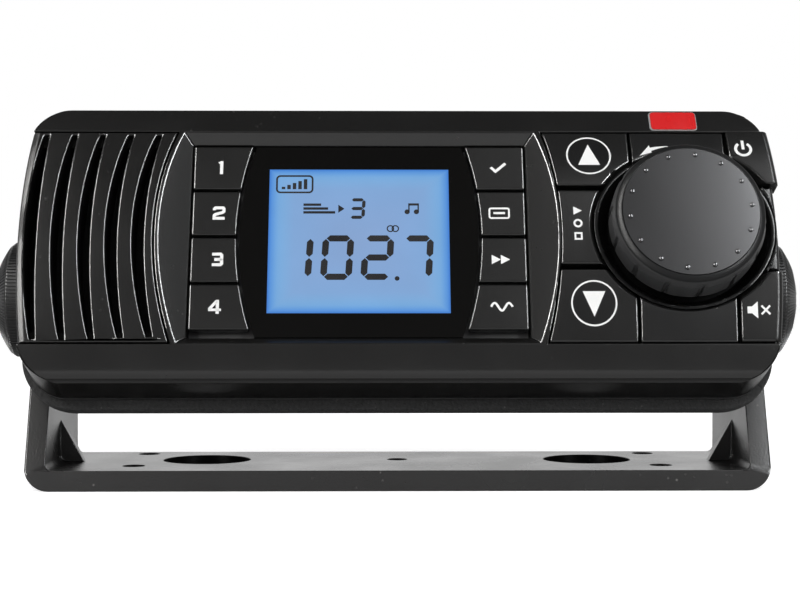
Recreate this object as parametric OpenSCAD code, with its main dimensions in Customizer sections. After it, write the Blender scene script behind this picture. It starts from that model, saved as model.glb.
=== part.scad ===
// Marine stereo on a gimbal bracket. The head tilts between the arms of the bracket and is
// held by two clamp knobs. Its front is convex from top to bottom, with a louvred grille on
// the left, a sunk display between two columns of keys, and a control panel with a large knob
// on the right. Lengths are in millimetres. The origin is the middle of the bracket's foot.

/* [Bracket] */
// Width over the outer faces of the arms
bracket_w = 170.6; // [166:0.2:190]
// Depth of the base, front to back
bracket_d = 44.4; // [40:0.2:56]
// Thickness of the base
base_t = 4.8; // [3:0.1:7]
// Thickness of each arm
arm_t = 4.8; // [3:0.1:6]
// Height of the tilt axis above the mounting surface
pivot_z = 43.5; // [41:0.5:60]
// Radius of the rounded top of each arm, about the tilt axis
arm_top_r = 14; // [10:0.5:17]
// Outer radius where the arms meet the base
bracket_corner_r = 5.5; // [2:0.1:8]
// Inner radius where the arms meet the base
bracket_inner_r = 1.6; // [0.5:0.1:4]
// Reach of each gusset along the base
gusset_w = 5.5; // [3:0.5:10]
// Height of each gusset up the arm
gusset_h = 10; // [5:0.5:16]
// Thickness of each gusset
gusset_t = 3; // [2:0.5:6]
// Distance of the row of base holes behind the middle of the base
hole_row_y = 3; // [2.5:0.5:5]
// Radius of the two large holes in the base
cable_hole_r = 10.5; // [6:0.5:12]
// Distance between the two large holes
cable_hole_span = 92; // [70:1:100]
// Radius of the fixing holes
screw_hole_r = 2.6; // [1.6:0.1:3.5]
// Spacing of the fixing holes across the base
screw_span_x = 123.6; // [110:0.2:140]
// Spacing of the fixing holes along the base
screw_span_y = 28; // [20:0.5:32]
// Radius of the single hole in the middle
middle_hole_r = 2.4; // [1:0.1:3]

/* [Head pose] */
// Upward tilt of the face at rest, in degrees
tilt = 21.5; // [16:0.5:60]
// Distance of the tilt axis behind the front of the face
pivot_back = 42.4; // [41:0.2:50]
// Height of the tilt axis above the middle of the face
pivot_rise = 0.5; // [-2:0.1:3]

/* [Fascia] */
// Width of the face
face_w = 168; // [166:0.5:170]
// Height of the face
face_h = 66; // [65:0.5:68]
// Height of the middle of the outline above the middle of the face
face_lift = 0.5; // [0:0.1:1]
// Corner radius of the face
face_corner_r = 9.5; // [7:0.5:12]
// Radius of the convex front, seen from the side
face_r = 100; // [90:1:150]
// Height of the foremost line of the face above its middle
face_apex = 1; // [-2:0.5:3]
// Rounding along the bottom front edge
bottom_edge_r = 3; // [1:0.25:4]
// Rounding along the top front edge
top_edge_r = 1; // [0.5:0.25:3]
// Depth of the fascia from the front of the face to its back edge
fascia_depth = 18.6; // [18.4:0.1:22]
// Wall thickness of the fascia
fascia_wall = 2.5; // [2:0.1:3]
// Depth of the pockets that hold the grille and the control panel
pocket_depth = 8.5; // [8:0.1:9]
// Thickness of the fascia behind the pockets
pocket_floor_t = 2.5; // [2:0.1:3]
// Upper edge of the pockets, above the middle of the face
pocket_top = 26.8; // [25:0.1:28]
// Lower edge of the pockets, below the middle of the face
pocket_bottom = 24.7; // [24:0.1:27]

/* [Display recess] */
// Middle of the display recess, to the right of the middle of the face
deck_x = -9; // [-12:0.5:-6]
// Width of the recess floor
deck_w = 75.8; // [70:0.2:78]
// Upper edge of the recess floor
deck_top = 23.9; // [23.7:0.1:25]
// Lower edge of the recess floor, below the middle of the face
deck_bottom = 22.9; // [22:0.1:23.6]
// Depth of the recess floor behind the front of the face
deck_depth = 5; // [4.6:0.1:5.4]
// Sideways run of the sloping side walls for each millimetre of depth
deck_side_run = 1.36; // [1:0.02:1.4]
// Radius of the window's curved sides
window_side_r = 75; // [60:1:120]
// Thickness of the window
window_t = 1.2; // [0.8:0.1:1.4]
// Setback of the window behind the recess floor
window_setback = 0.2; // [0:0.1:0.4]
// Dark border on each side of the visible part of the display, at mid height
lcd_side = 7; // [6.5:0.1:9]
// Height of the visible part of the display
lcd_view_h = 35.2; // [30:0.2:36]
// Height of the middle of the display above the middle of the face
lcd_z = 1.2; // [0.5:0.1:2]
// Margin of the display glass around its visible part
lcd_margin = 1.5; // [1:0.1:1.6]
// Thickness of the display glass
lcd_t = 1.6; // [1:0.1:2]
// Thickness of the light guide behind the display
backlight_t = 3; // [2:0.1:4]

/* [Keys] */
// Gap between the key columns and the foot of the recess's side walls
key_side_gap = 0.3; // [0.2:0.05:1]
// Width of a column key at mid height
column_w = 10.1; // [9.1:0.1:12]
// Pitch of the keys down a column
key_pitch = 11.3; // [10:0.05:11.4]
// Gap between neighbouring keys
key_gap = 0.6; // [0.3:0.05:0.8]
// Height of the middle of the key columns above the middle of the face
key_mid_z = 1.1; // [0.8:0.1:1.2]
// How far the column keys stand out of the recess floor
key_proud = 0.8; // [0.2:0.1:1.2]
// Thickness of a column key's cap
key_t = 2.4; // [2:0.1:2.8]
// Travel of every key
key_travel = 1; // [0.4:0.1:1.2]
// Free play left at the end of a key's travel
key_play = 0.2; // [0.1:0.05:0.4]
// Diameter of a key's stem
stem_d = 3.2; // [2.4:0.1:3.6]
// Diameter of the clip ring that keeps a key in
clip_d = 5.2; // [4.4:0.1:5.6]
// Thickness of the clip ring
clip_t = 0.7; // [0.5:0.1:1]
// Distance of the column keys' stems from their outer edges
column_stem_in = 5.3; // [4.6:0.1:6.6]
// Sliding clearance around a stem
stem_clear = 0.1; // [0.05:0.01:0.15]

/* [Grille] */
// Number of slots in the grille
louvre_count = 5; // [3:1:5]
// Distance of the first slot's outer edge from the middle of the face
louvre_first = 83.1; // [82.6:0.1:83.2]
// Pitch of the slots
louvre_pitch = 5.95; // [5:0.05:6]
// Width of a slot at mid height
louvre_w = 2.5; // [1.6:0.1:2.8]
// Bow of the outer edge of the first slot
louvre_bow = 2.3; // [1:0.1:3]
// How much more each next slot bows
louvre_bow_step = 0.5; // [0.2:0.1:0.6]
// How much less a slot's inner edge bows than its outer edge
louvre_narrowing = 1.4; // [0.5:0.1:1.6]
// Border above and below the slots
louvre_border = 0.7; // [0.5:0.1:2]
// Depth at which the slots get shorter
louvre_step_y = 5.2; // [5:0.1:6.5]
// How much shorter the slots are past that depth, at each end
louvre_step = 2.4; // [1:0.1:4]
// Thickness of the grille cloth
cloth_t = 0.4; // [0.2:0.1:0.8]
// Radius of the grille pocket's curved side
grille_side_r = 80; // [70:1:110]
// Distance of that curved side from the middle of the face
grille_side_x = 54.5; // [54.2:0.1:55.2]
// How far the outer sides of the grille and the panel reach from the middle of the face
cheek_x = 84.6; // [84.4:0.1:86]
// Radius of those outer sides, seen from the front
cheek_r = 290; // [200:5:500]
// Fitting gap round the grille and the panel
panel_gap = 0.25; // [0.1:0.05:0.4]

/* [Control panel] */
// Radius of the panel pocket's curved side
panel_side_r = 100; // [80:1:140]
// Distance of that curved side from the middle of the face
panel_side_x = 35.9; // [35.8:0.1:37]
// Distance of the knob's axis from the middle of the face
knob_x = 63.8; // [62.8:0.1:63.9]
// Height of the knob's axis above the middle of the face
knob_z = 1.9; // [1:0.1:3]
// Radius of the well round the knob, at the front of the face
well_r = 20.5; // [19.8:0.1:20.6]
// How much the well narrows for each millimetre of depth
well_taper = 0.65; // [0.3:0.05:0.7]
// Depth of the well's floor behind the front of the face
well_depth = 4.2; // [3:0.1:4.4]
// Wall and floor thickness of the well's lining ring
well_t = 0.9; // [0.6:0.1:1.1]
// How far the lining ring's edge lies behind the face
ring_setback = 0.3; // [0.1:0.1:0.6]
// Depth of the shelf under the panel keys
panel_shelf = 6.3; // [6.2:0.05:6.6]
// Half the distance between the upper splits beside the knob
panel_split_x = 10.7; // [8:0.1:11.4]
// Height of the splits of the left keys above and below the knob's axis
panel_split_left = 9.6; // [8:0.1:11]
// Height of the split under the power key above the knob's axis
power_split = 9.6; // [9:0.1:11]
// Depth of the split over the mute key below the knob's axis
mute_split = 10.3; // [9:0.1:11]
// How far the power key stands out
power_proud = 1.2; // [0.2:0.1:1.4]
// How far the mute key stands out
mute_proud = 0.6; // [0.2:0.1:1.4]
// Sideways distance of the corner keys' stems from the knob's axis
corner_stem_x = 13.4; // [13.2:0.1:13.8]
// Height of the outer keys' stems above and below the knob's axis
outer_stem_z = 18.2; // [18.2:0.1:18.8]
// Sideways distance of the up and down keys' stems from the knob's axis
left_stem_x = 20.6; // [19.8:0.1:21.4]
// Sideways distance of the source key's stem from the knob's axis
source_stem_x = 24; // [23.6:0.1:24.6]

/* [Knob] */
// Largest radius of the knob
knob_r = 17.1; // [16.6:0.1:18]
// Radius of the knob's flat top
knob_top_r = 15; // [14.4:0.1:15.2]
// Height of the knob's top above the front of the face
knob_rise = 8.6; // [7:0.1:14]
// Depth of the knob's lower edge behind the front of the face
knob_skirt = 0.8; // [0:0.1:1.2]
// Width of the bevel round the knob's top
knob_bevel_w = 1.4; // [0.6:0.1:2]
// Height of the bevel round the knob's top
knob_bevel_h = 1.2; // [0.6:0.1:2]
// Height of the groove under the bevel
knob_groove = 0.35; // [0.2:0.05:0.8]
// Radius of the seat for the grip ring
knob_seat_r = 15.2; // [14:0.1:15.4]
// Number of raised dots on the knob's top
knob_dots = 14; // [6:1:20]
// Radius of the circle of dots
knob_dot_pcd_r = 13.5; // [9:0.1:13.8]
// Turn of the dots from the axis to the right, in degrees
knob_dot_turn = 5.7; // [0:0.1:25]
// Radius of a dot
knob_dot_r = 0.62; // [0.3:0.02:0.8]
// Depth of a dot's centre below the top
knob_dot_sink = 0.25; // [0.1:0.05:0.4]
// Depth of the notches between the grip's pads
grip_notch = 0.35; // [0.1:0.05:0.6]
// Width of those notches
grip_notch_w = 0.7; // [0.4:0.1:1.2]
// Height of the grip's shoulder under the cap
grip_shoulder = 2.4; // [1.6:0.1:3]
// Chamfer at the grip's lower edge
grip_foot = 0.6; // [0.3:0.1:1]
// Thickness of the cap's top
cap_t = 2.2; // [1.6:0.1:2.6]
// Wall thickness of the cap, and of its boss on the shaft
cap_wall = 2.2; // [1.6:0.1:2.6]
// Height of the cap's edge over the groove
cap_edge = 0.3; // [0.2:0.05:0.6]
// Radius of the encoder's shaft
shaft_r = 3; // [2:0.1:3.2]
// Radius of the encoder's threaded bush
bush_r = 3.9; // [3.6:0.1:4.2]
// Side of the encoder's body
encoder_side = 12; // [10:0.5:13]
// Width across the flats of the encoder's nut
nut_af = 10; // [9:0.5:12]
// Thickness of the encoder's body
encoder_t = 5; // [3.6:0.1:5.2]
// Thickness of the encoder's nut
nut_t = 2; // [1:0.1:2.4]
// Running clearance of a shaft or a stud
run_clear = 0.07; // [0.03:0.01:0.1]

/* [Housing] */
// Width of the rear housing
housing_w = 147; // [140:0.5:148]
// Height of the rear housing
housing_h = 41; // [38:0.5:46]
// Corner radius of the rear housing
housing_corner_r = 7; // [4:0.5:10]
// Depth of the rear housing from the front of the face
housing_depth = 49; // [48:0.5:54]
// Wall thickness of the rear housing
housing_wall = 2.5; // [1.8:0.1:3]
// Thickness of the flange that closes the fascia
flange_t = 2; // [1.5:0.1:3]
// Thickness of the foam gasket
gasket_t = 3.4; // [2:0.1:4]
// How far the gasket stands out beyond the face, all round
gasket_lip = 2; // [0.5:0.1:2.2]
// Corner radius of the gasket
gasket_corner_r = 13; // [8:0.5:16]
// Number of ribs on each flank of the housing, above and below
housing_ribs = 7; // [3:1:11]
// Height of those ribs
housing_rib_h = 0.8; // [0.4:0.1:1]
// Width of those ribs
housing_rib_w = 1.6; // [1:0.1:2.4]
// Distance of the outermost ribs from the housing's side walls
housing_rib_in = 12; // [10:0.5:20]
// Length of the posts for the heat sink's screws
sink_post_l = 9; // [7:0.5:11]
// Length of the heat sink's screws inside the housing
sink_screw_l = 6; // [4:0.5:6.5]
// Thickness of the heat sink's screw heads
sink_head_t = 2; // [1.4:0.1:2.6]
// Distance of the heat sink's screws from its edges
sink_screw_in = 5.5; // [5:0.1:6.5]
// Thickness of the heat sink's plate
sink_t = 3; // [2:0.1:4]
// Number of fins on the heat sink
fin_count = 15; // [7:1:19]
// Pitch of the fins
fin_pitch = 6; // [5:0.1:6.4]
// Thickness of a fin
fin_t = 1.8; // [1.2:0.1:2.4]
// Length of the fins
fin_h = 6; // [4:0.5:8]
// Height of the finned field
fin_field_h = 33; // [24:0.5:35]
// Middle of the finned field, to the right of the middle of the back
fin_field_x = 18; // [15:0.5:20]

/* [Pivot] */
// Radius of the boss on each side of the housing
boss_r = 12; // [9:0.5:13]
// Gap between the friction washers and the arms
pivot_gap = 0.2; // [0.1:0.05:0.3]
// Thickness of the friction washers
friction_t = 1.7; // [1:0.1:2]
// Radius of the threaded inserts
insert_r = 5; // [4.4:0.1:6]
// Length of the threaded inserts
insert_l = 10; // [6:0.5:12]
// Wall round the threaded inserts inside the housing
insert_wall = 2.5; // [1.6:0.1:3]
// Radius of the clamp studs
stud_r = 3; // [2:0.1:3.4]
// Radius of the clamp knobs
clamp_r = 15; // [12:0.5:16]
// Height of the clamp knobs
clamp_h = 11.6; // [9:0.2:13]
// Height of the straight rim of the clamp knobs
clamp_rim_h = 6.6; // [3:0.2:7]
// Width of the coin slot across each clamp knob
coin_slot_w = 2.2; // [1:0.1:3]
// Depth of the coin slot
coin_slot_d = 1.2; // [0.6:0.1:2]
// Thickness of the washers under the clamp knobs
clamp_washer_t = 1; // [0.6:0.1:1.6]
// Radius of the washers under the clamp knobs
clamp_washer_r = 11; // [8:0.5:12]

/* [Inside] */
// Thickness of the circuit boards
board_t = 1.6; // [1:0.1:1.6]
// Half the height of the control board
board_half_h = 22.6; // [22.4:0.1:23]
// Side of a key switch
switch_side = 4.4; // [3.6:0.1:4.6]
// Height of a key switch's plunger
switch_plunger = 0.5; // [0.3:0.05:0.6]
// Thickness of the frame that holds the display, behind the fascia
frame_t = 2; // [1.6:0.1:2.4]
// How far that frame laps over the fascia
frame_lap = 2.2; // [1.5:0.1:2.6]
// Clear space round the speaker, between the fascia's side wall and the frame
speaker_clear = 2; // [1:0.1:4]
// Width of the speaker's rim
speaker_rim = 1.4; // [1:0.1:2]
// Thickness of the speaker's rim
speaker_rim_t = 1.2; // [1:0.1:1.6]
// Depth of the speaker's basket
basket_depth = 5.4; // [4.6:0.1:5.8]
// Sheet thickness of the basket
basket_t = 0.8; // [0.5:0.1:1]
// Depth of the speaker's cone
cone_depth = 2.8; // [2:0.1:3]
// Thickness of the cone
cone_t = 0.4; // [0.3:0.1:0.6]
// Width of the cone's surround
surround_w = 1.2; // [0.8:0.1:1.6]
// Length of the main board, front to back
main_board_l = 19; // [15:0.5:20]
// Width of the main board
main_board_w = 124; // [90:1:130]
// Height of the posts under the main board
main_post_h = 6; // [4:0.5:8]
// Width of the amplifier chip
chip_w = 24; // [16:1:30]
// Height of the amplifier chip
chip_h = 14; // [8:0.5:14.5]
// Thickness of the amplifier chip
chip_t = 4.6; // [3:0.1:5.5]
// Gap between the amplifier chip and the main board, where its legs bend
chip_lift = 3; // [1:0.1:3.4]
// Radius of the posts between the fascia, the frame and the control board
stand_r = 1.6; // [1.2:0.1:2]
// Wall round the display inside its frame
lcd_wall = 1; // [0.8:0.1:1.2]
// Radius of the screw heads
screw_head_r = 2.7; // [2:0.1:2.8]
// Thickness of the flange screws' heads
screw_head_t = 1.1; // [0.8:0.1:1.2]
// Radius of the screw shanks
screw_r = 1.4; // [1:0.1:1.6]
// Radius of the posts that take the screws
post_r = 3; // [2.4:0.1:3.2]

/* [Back] */
// Distance of the back sockets from the middle of the back
socket_x = 51; // [48:0.5:54]
// Height of the antenna socket above the middle of the back
antenna_z = 9; // [8:0.5:10]
// Outer radius of the antenna socket
antenna_r = 5; // [4.4:0.1:6]
// Radius of the antenna socket's bore
antenna_bore_r = 3.6; // [2:0.1:3.8]
// Length of the antenna socket's neck inside the housing
antenna_neck_l = 3; // [2:0.5:4]
// Thickness of the antenna socket's floor
antenna_floor = 1; // [0.6:0.1:2]
// Length of the antenna socket behind the heat sink
antenna_l = 8; // [6:0.5:10]
// Depth of the cable grommet's axis below the middle of the back
grommet_z = 8.5; // [8:0.5:9.5]
// Radius of the cable grommet's bore
grommet_bore_r = 4; // [3:0.1:5]
// Wall of the cable grommet's neck
grommet_neck = 2; // [1.5:0.1:2.4]
// Width of the cable grommet's lips
grommet_lip = 2; // [1.5:0.1:2.4]
// Thickness of the cable grommet's lips
grommet_lip_t = 2.2; // [1.5:0.1:3]

/* [Hidden] */
$fn = 96;
// Segments of the wide arcs
wide_fn = 720;
// Reach of a cut past the surface that it leaves
past = 1;
// Fitting clearance between fixed pieces
fit = 0.2;
// Clearance between a round piece and the hole that it is fixed in
round_fit = 0.05;
// How far the roundings of the long edges stand out of the face where they run into it
edge_blend = 0.01;
// Gap past the end of a shaft, screw or stud in its hole
end_gap = 0.1;
// Gap between the knob's boss and the encoder's bush
cap_gap = 0.5;
// Room round a stem or a stud that passes through a plate without touching it
pass_room = 0.4;
// Distance of the flange screws' posts from the fascia's walls
post_in = 3.25;
// Distance of the main board's posts from its ends
main_post_in = 4;
// Distance of the main board from the heat sink
main_board_in = 6;
// Distance of the frame's posts from the key stems
board_post_in = 6.9;
// Height of the board posts above and below the middle of the face
board_post_z = 20;
// Thickness of the lip that the display rests against
lcd_lip_t = 0.4;
// Distance of a housing rib's ends from the gasket and from the back
rib_end = 2;

pivot_y = bracket_d / 2 - arm_top_r;
arm_in = bracket_w / 2 - arm_t;
arm_out = bracket_w / 2;
front_to_pivot = [pivot_y + bracket_d / 2, pivot_z - base_t];
lean_up = atan2(front_to_pivot[1], front_to_pivot[0]) + asin(arm_top_r / norm(front_to_pivot));

key_span = deck_w - 2 * key_side_gap;
window_half = key_span / 2 - column_w;
column_stem_x = key_span / 2 - column_stem_in;
lcd_view_w = 2 * (window_half - lcd_side);

pocket_back = pocket_depth + pocket_floor_t;
flange_back = fascia_depth + flange_t;
gasket_back = flange_back + gasket_t;
sink_back = housing_depth + sink_t;

key_front = deck_depth - key_proud;
key_back = key_front + key_t;
frame_back = pocket_back + frame_t;
core_front = key_back + key_travel + 2 * key_play;
stem_end = frame_back + key_play + clip_t;
switch_top = stem_end + key_travel + key_play;
board_back = fascia_depth - end_gap;
board_front = board_back - board_t;
window_front = deck_depth + window_setback;
window_back = window_front + window_t;
lip_back = window_back + lcd_lip_t;
lcd_w = lcd_view_w + 2 * lcd_margin;
lcd_h = lcd_view_h + 2 * lcd_margin;
panel_key_back = panel_shelf - key_travel - key_play;

boss_out = arm_in - pivot_gap - friction_t;
insert_in = boss_out - insert_l;
clamp_washer_in = arm_out + end_gap;
clamp_in = clamp_washer_in + clamp_washer_t;
stud_in = insert_in + past;
stud_out = clamp_in + clamp_h / 2;

knob_pad_top = knob_rise - knob_bevel_h - knob_groove;
shaft_top = knob_rise - cap_t - fit;
bush_front = well_depth - nut_t - fit;
encoder_back = board_front;
encoder_front = encoder_back - encoder_t;

screw_post = [face_w / 2 - fascia_wall - post_in, face_h / 2 - face_lift - fascia_wall - post_in];
sink_screw = [housing_w / 2 - sink_screw_in, housing_h / 2 - sink_screw_in];
board_post = [column_stem_x - board_post_in, board_post_z];
main_post = [main_board_w / 2 - main_post_in, main_board_l / 2 - main_post_in];
main_board_y = housing_depth - main_board_in - main_board_l / 2;
main_board_z = -housing_h / 2 + housing_wall + main_post_h;

// The speaker fills the room between the fascia's side wall and the display's frame
speaker_room = [face_w / 2 - fascia_wall, deck_w / 2 - deck_x + frame_lap];
speaker_x = (speaker_room[0] + speaker_room[1]) / 2;
speaker_r = (speaker_room[0] - speaker_room[1]) / 2 - speaker_clear;
speaker_hole_r = speaker_r - speaker_rim - fit;

antenna_neck = antenna_r - antenna_floor;
grommet_r = grommet_bore_r + grommet_neck;

// Places of the panel keys' stems, from the knob's axis
stem_up = [-left_stem_x, outer_stem_z];
stem_source = [-source_stem_x, 0];
stem_down = [-left_stem_x, -outer_stem_z];
stem_power = [corner_stem_x, outer_stem_z];
stem_mute = [corner_stem_x, -outer_stem_z];
panel_stems = [stem_up, stem_source, stem_down, stem_power, stem_mute];

// Depth of the convex face at a height
function face_y(z) = face_r - sqrt(face_r * face_r - (z - face_apex) * (z - face_apex));

// Radius of an arc from half its chord and its bow
function bow_r(half, bow) = (half * half + bow * bow) / (2 * bow);

// Height of the middle of a column key, counted from the top
function key_row_z(row) = key_mid_z + (1.5 - row) * key_pitch;

// Place of the middle of a fin across the heat sink
function fin_x(index) = fin_field_x + (index - (fin_count - 1) / 2) * fin_pitch;

// The head is drawn upright, face towards -Y, and is then set on the tilt axis
module in_head() {
    translate([0, pivot_y, pivot_z])
        rotate([-tilt, 0, 0])
            translate([0, -pivot_back, -pivot_rise])
                children();
}

// Extrudes a front view (x, z) from one depth to another
module along_y(from, to) {
    translate([0, to, 0])
        rotate([90, 0, 0])
            linear_extrude(to - from)
                children();
}

// Extrudes a side view (y, z) from one x to another
module along_x(from, to) {
    translate([from, 0, 0])
        rotate([90, 0, 90])
            linear_extrude(to - from)
                children();
}

// Revolves a half section (radius, depth) about an axis along the depth
module revolve_y(x, z) {
    translate([x, 0, z])
        rotate([-90, 0, 0])
            rotate_extrude()
                children();
}

module rod_y(x, z, r, from, to) {
    translate([x, from, z])
        rotate([-90, 0, 0])
            cylinder(r = r, h = to - from);
}

// A rod along the tilt axis, on the right for side 1 and on the left for side -1
module rod_pivot(side, r, from, to) {
    translate([side * from, pivot_y, pivot_z])
        rotate([0, side * 90, 0])
            cylinder(r = r, h = to - from);
}

// Repeats what is drawn on the head's axis at four corners
module at_corners(corner) {
    for (sx = [-1, 1], sz = [-1, 1])
        translate([sx * corner[0], 0, sz * corner[1]])
            children();
}

// Repeats what is drawn on the head's axis at the stems of the panel keys
module at_panel_stems() {
    for (stem = panel_stems)
        translate([knob_x + stem[0], 0, knob_z + stem[1]])
            children();
}

module rounded_rect(w, h, r) {
    square([w - 2 * r, h], center = true);
    square([w, h - 2 * r], center = true);
    for (sx = [-1, 1], sz = [-1, 1])
        translate([sx * (w / 2 - r), sz * (h / 2 - r)])
            circle(r);
}

// Everything behind the convex face, moved back by a depth
module behind_face(back = 0) {
    translate([-face_w, face_r + back, face_apex])
        rotate([0, 90, 0])
            cylinder(r = face_r, h = 2 * face_w, $fn = wide_fn);
}

// Side view of the fascia, cut to length later: the convex front with rounded lower and upper edges
module fascia_side() {
    edge_r = [bottom_edge_r, top_edge_r];
    ends = [face_lift - face_h / 2, face_lift + face_h / 2];
    mid = [ends[0] + edge_r[0], ends[1] - edge_r[1]];
    rise = [for (z = mid) z - face_apex];
    reach = [for (r = edge_r) face_r - r];
    deep = [for (i = [0, 1]) face_r - sqrt(reach[i] * reach[i] - rise[i] * rise[i])];
    meet = [for (i = [0, 1]) face_apex + rise[i] * face_r / reach[i]];
    intersection() {
        translate([face_r, face_apex])
            circle(face_r, $fn = wide_fn);
        translate([0, meet[0]])
            square([fascia_depth + past, meet[1] - meet[0]]);
    }
    translate([deep[0], ends[0] - past])
        square([fascia_depth, meet[0] - ends[0] + 2 * past]);
    translate([deep[1], meet[1] - past])
        square([fascia_depth, ends[1] - meet[1] + 2 * past]);
    for (i = [0, 1])
        translate([deep[i], mid[i]])
            circle(edge_r[i] + edge_blend);
}

// Front view of the face's outline, grown all round
module face_outline(grow, r) {
    translate([0, face_lift])
        rounded_rect(face_w + 2 * grow, face_h + 2 * grow, r);
}

// Front view of the band that the grille and the panel lie in
module pocket_band(gap) {
    translate([-face_w, -pocket_bottom + gap])
        square([2 * face_w, pocket_top + pocket_bottom - 2 * gap]);
}

// Front view of the grille's place, drawn in by a gap
module grille_place(gap, outer) {
    intersection() {
        difference() {
            pocket_band(gap);
            translate([-grille_side_x + grille_side_r, face_apex])
                circle(grille_side_r + gap, $fn = wide_fn);
            translate([0, -face_h])
                square([face_w, 2 * face_h]);
        }
        translate([-outer + cheek_r, face_apex])
            circle(cheek_r, $fn = wide_fn);
    }
}

// Front view of the panel's place, drawn in by a gap
module panel_place(gap, outer) {
    intersection() {
        difference() {
            pocket_band(gap);
            translate([panel_side_x - panel_side_r, face_apex])
                circle(panel_side_r + gap, $fn = wide_fn);
            translate([-face_w, -face_h])
                square([face_w, 2 * face_h]);
        }
        translate([outer - cheek_r, face_apex])
            circle(cheek_r, $fn = wide_fn);
    }
}

// The sloping recess: its walls rise from the floor and meet in mitres
module recess_cut() {
    top_run = (pocket_top - deck_top) / (deck_depth - face_y(pocket_top));
    bottom_run = (pocket_bottom - deck_bottom) / (deck_depth - face_y(-pocket_bottom));
    rise = deck_depth + past;
    half = deck_w / 2;
    intersection() {
        translate([deck_x, 0, -face_h])
            linear_extrude(2 * face_h)
                polygon([
                    [-half, deck_depth], [half, deck_depth],
                    [half + rise * deck_side_run, -past], [-half - rise * deck_side_run, -past]
                ]);
        along_x(-face_w, face_w)
            polygon([
                [deck_depth, -deck_bottom], [deck_depth, deck_top],
                [-past, deck_top + rise * top_run], [-past, -deck_bottom - rise * bottom_run]
            ]);
    }
}

module deck_rect(grow) {
    translate([deck_x - deck_w / 2 - grow, -deck_bottom - grow])
        square([deck_w + 2 * grow, deck_top + deck_bottom + 2 * grow]);
}

// Mirrors a front view drawn for the left key column to the given side
module at_column(side) {
    translate([deck_x, 0])
        mirror([side > 0 ? 1 : 0, 0])
            children();
}

// The well's taper from in front of the face to a depth, grown by a gap
module well_cone(gap, to) {
    front = -2 * past;
    translate([knob_x, front, knob_z])
        rotate([-90, 0, 0])
            cylinder(
                r1 = well_r + gap - front * well_taper, r2 = well_r + gap - to * well_taper, h = to - front
            );
}

// Circle that bounds the window on the left, drawn in by a gap
module window_side(gap) {
    translate([window_side_r - window_half, key_mid_z])
        circle(window_side_r - gap, $fn = wide_fn);
}

module gimbal_bracket() {
    color("#17181a")
        difference() {
            union() {
                intersection() {
                    along_y(-bracket_d / 2, bracket_d / 2)
                        bracket_front();
                    along_x(-bracket_w / 2, bracket_w / 2)
                        bracket_side();
                }
                for (side = [-1, 1])
                    mirror([side > 0 ? 1 : 0, 0, 0])
                        along_y(-gusset_t / 2, gusset_t / 2)
                            translate([-arm_in, base_t])
                                polygon([
                                    [-past, -past], [gusset_w, -past], [gusset_w, 0],
                                    [0, gusset_h], [-past, gusset_h]
                                ]);
            }
            for (side = [-1, 1]) {
                rod_pivot(side, stud_r + run_clear, arm_in - past, arm_out + past);
                translate([side * cable_hole_span / 2, hole_row_y, -past])
                    cylinder(r = cable_hole_r, h = base_t + 2 * past);
                for (row = [-1, 1])
                    translate([side * screw_span_x / 2, hole_row_y + row * screw_span_y / 2, -past])
                        cylinder(r = screw_hole_r, h = base_t + 2 * past);
            }
            translate([0, hole_row_y, -past])
                cylinder(r = middle_hole_r, h = base_t + 2 * past);
        }
}

// Front view of the bracket: a U with round lower corners
module bracket_front() {
    top = pivot_z + arm_top_r + past;
    difference() {
        union() {
            translate([-bracket_w / 2, bracket_corner_r])
                square([bracket_w, top - bracket_corner_r]);
            translate([-bracket_w / 2 + bracket_corner_r, 0])
                square([bracket_w - 2 * bracket_corner_r, 2 * bracket_corner_r]);
            for (side = [-1, 1])
                translate([side * (bracket_w / 2 - bracket_corner_r), bracket_corner_r])
                    circle(bracket_corner_r);
        }
        translate([-arm_in, base_t + bracket_inner_r])
            square([2 * arm_in, top]);
        translate([-arm_in + bracket_inner_r, base_t])
            square([2 * (arm_in - bracket_inner_r), top]);
        for (side = [-1, 1])
            translate([side * (arm_in - bracket_inner_r), base_t + bracket_inner_r])
                circle(bracket_inner_r);
    }
}

// Side view of the bracket: the front edge leans back to meet the round top
module bracket_side() {
    touch = arm_top_r * [cos(lean_up + 90), sin(lean_up + 90)];
    polygon([
        [-bracket_d / 2, 0], [bracket_d / 2, 0], [bracket_d / 2, pivot_z], [pivot_y, pivot_z],
        [pivot_y + touch[0], pivot_z + touch[1]], [-bracket_d / 2, base_t]
    ]);
    translate([pivot_y, pivot_z])
        circle(arm_top_r);
}

module front_fascia() {
    color("#1c1c1d")
        in_head()
            difference() {
                union() {
                    difference() {
                        intersection() {
                            along_x(-face_w / 2, face_w / 2)
                                fascia_side();
                            along_y(-past, fascia_depth)
                                face_outline(0, face_corner_r);
                        }
                        along_y(pocket_back, fascia_depth + past)
                            face_outline(-fascia_wall, face_corner_r - fascia_wall);
                    }
                    at_corners(screw_post)
                        rod_y(0, 0, post_r, pocket_back - past, fascia_depth);
                    for (sz = [-1, 1])
                        rod_y(knob_x, sz * board_post[1], stand_r, pocket_back - past, board_front);
                }
                recess_cut();
                along_y(deck_depth - past, pocket_back + past)
                    deck_rect(0);
                along_y(-past, pocket_depth)
                    grille_place(0, face_w);
                along_y(-past, pocket_depth)
                    panel_place(0, face_w);
                rod_y(-speaker_x, face_apex, speaker_hole_r, pocket_depth - past, pocket_back + past);
                at_panel_stems()
                    rod_y(0, 0, stem_d / 2 + pass_room, pocket_depth - past, pocket_back + past);
                rod_y(knob_x, knob_z, bush_r + fit, pocket_depth - past, pocket_back + past);
                at_corners(screw_post)
                    rod_y(0, 0, screw_r + round_fit, pocket_back, fascia_depth + past);
            }
}

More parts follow.
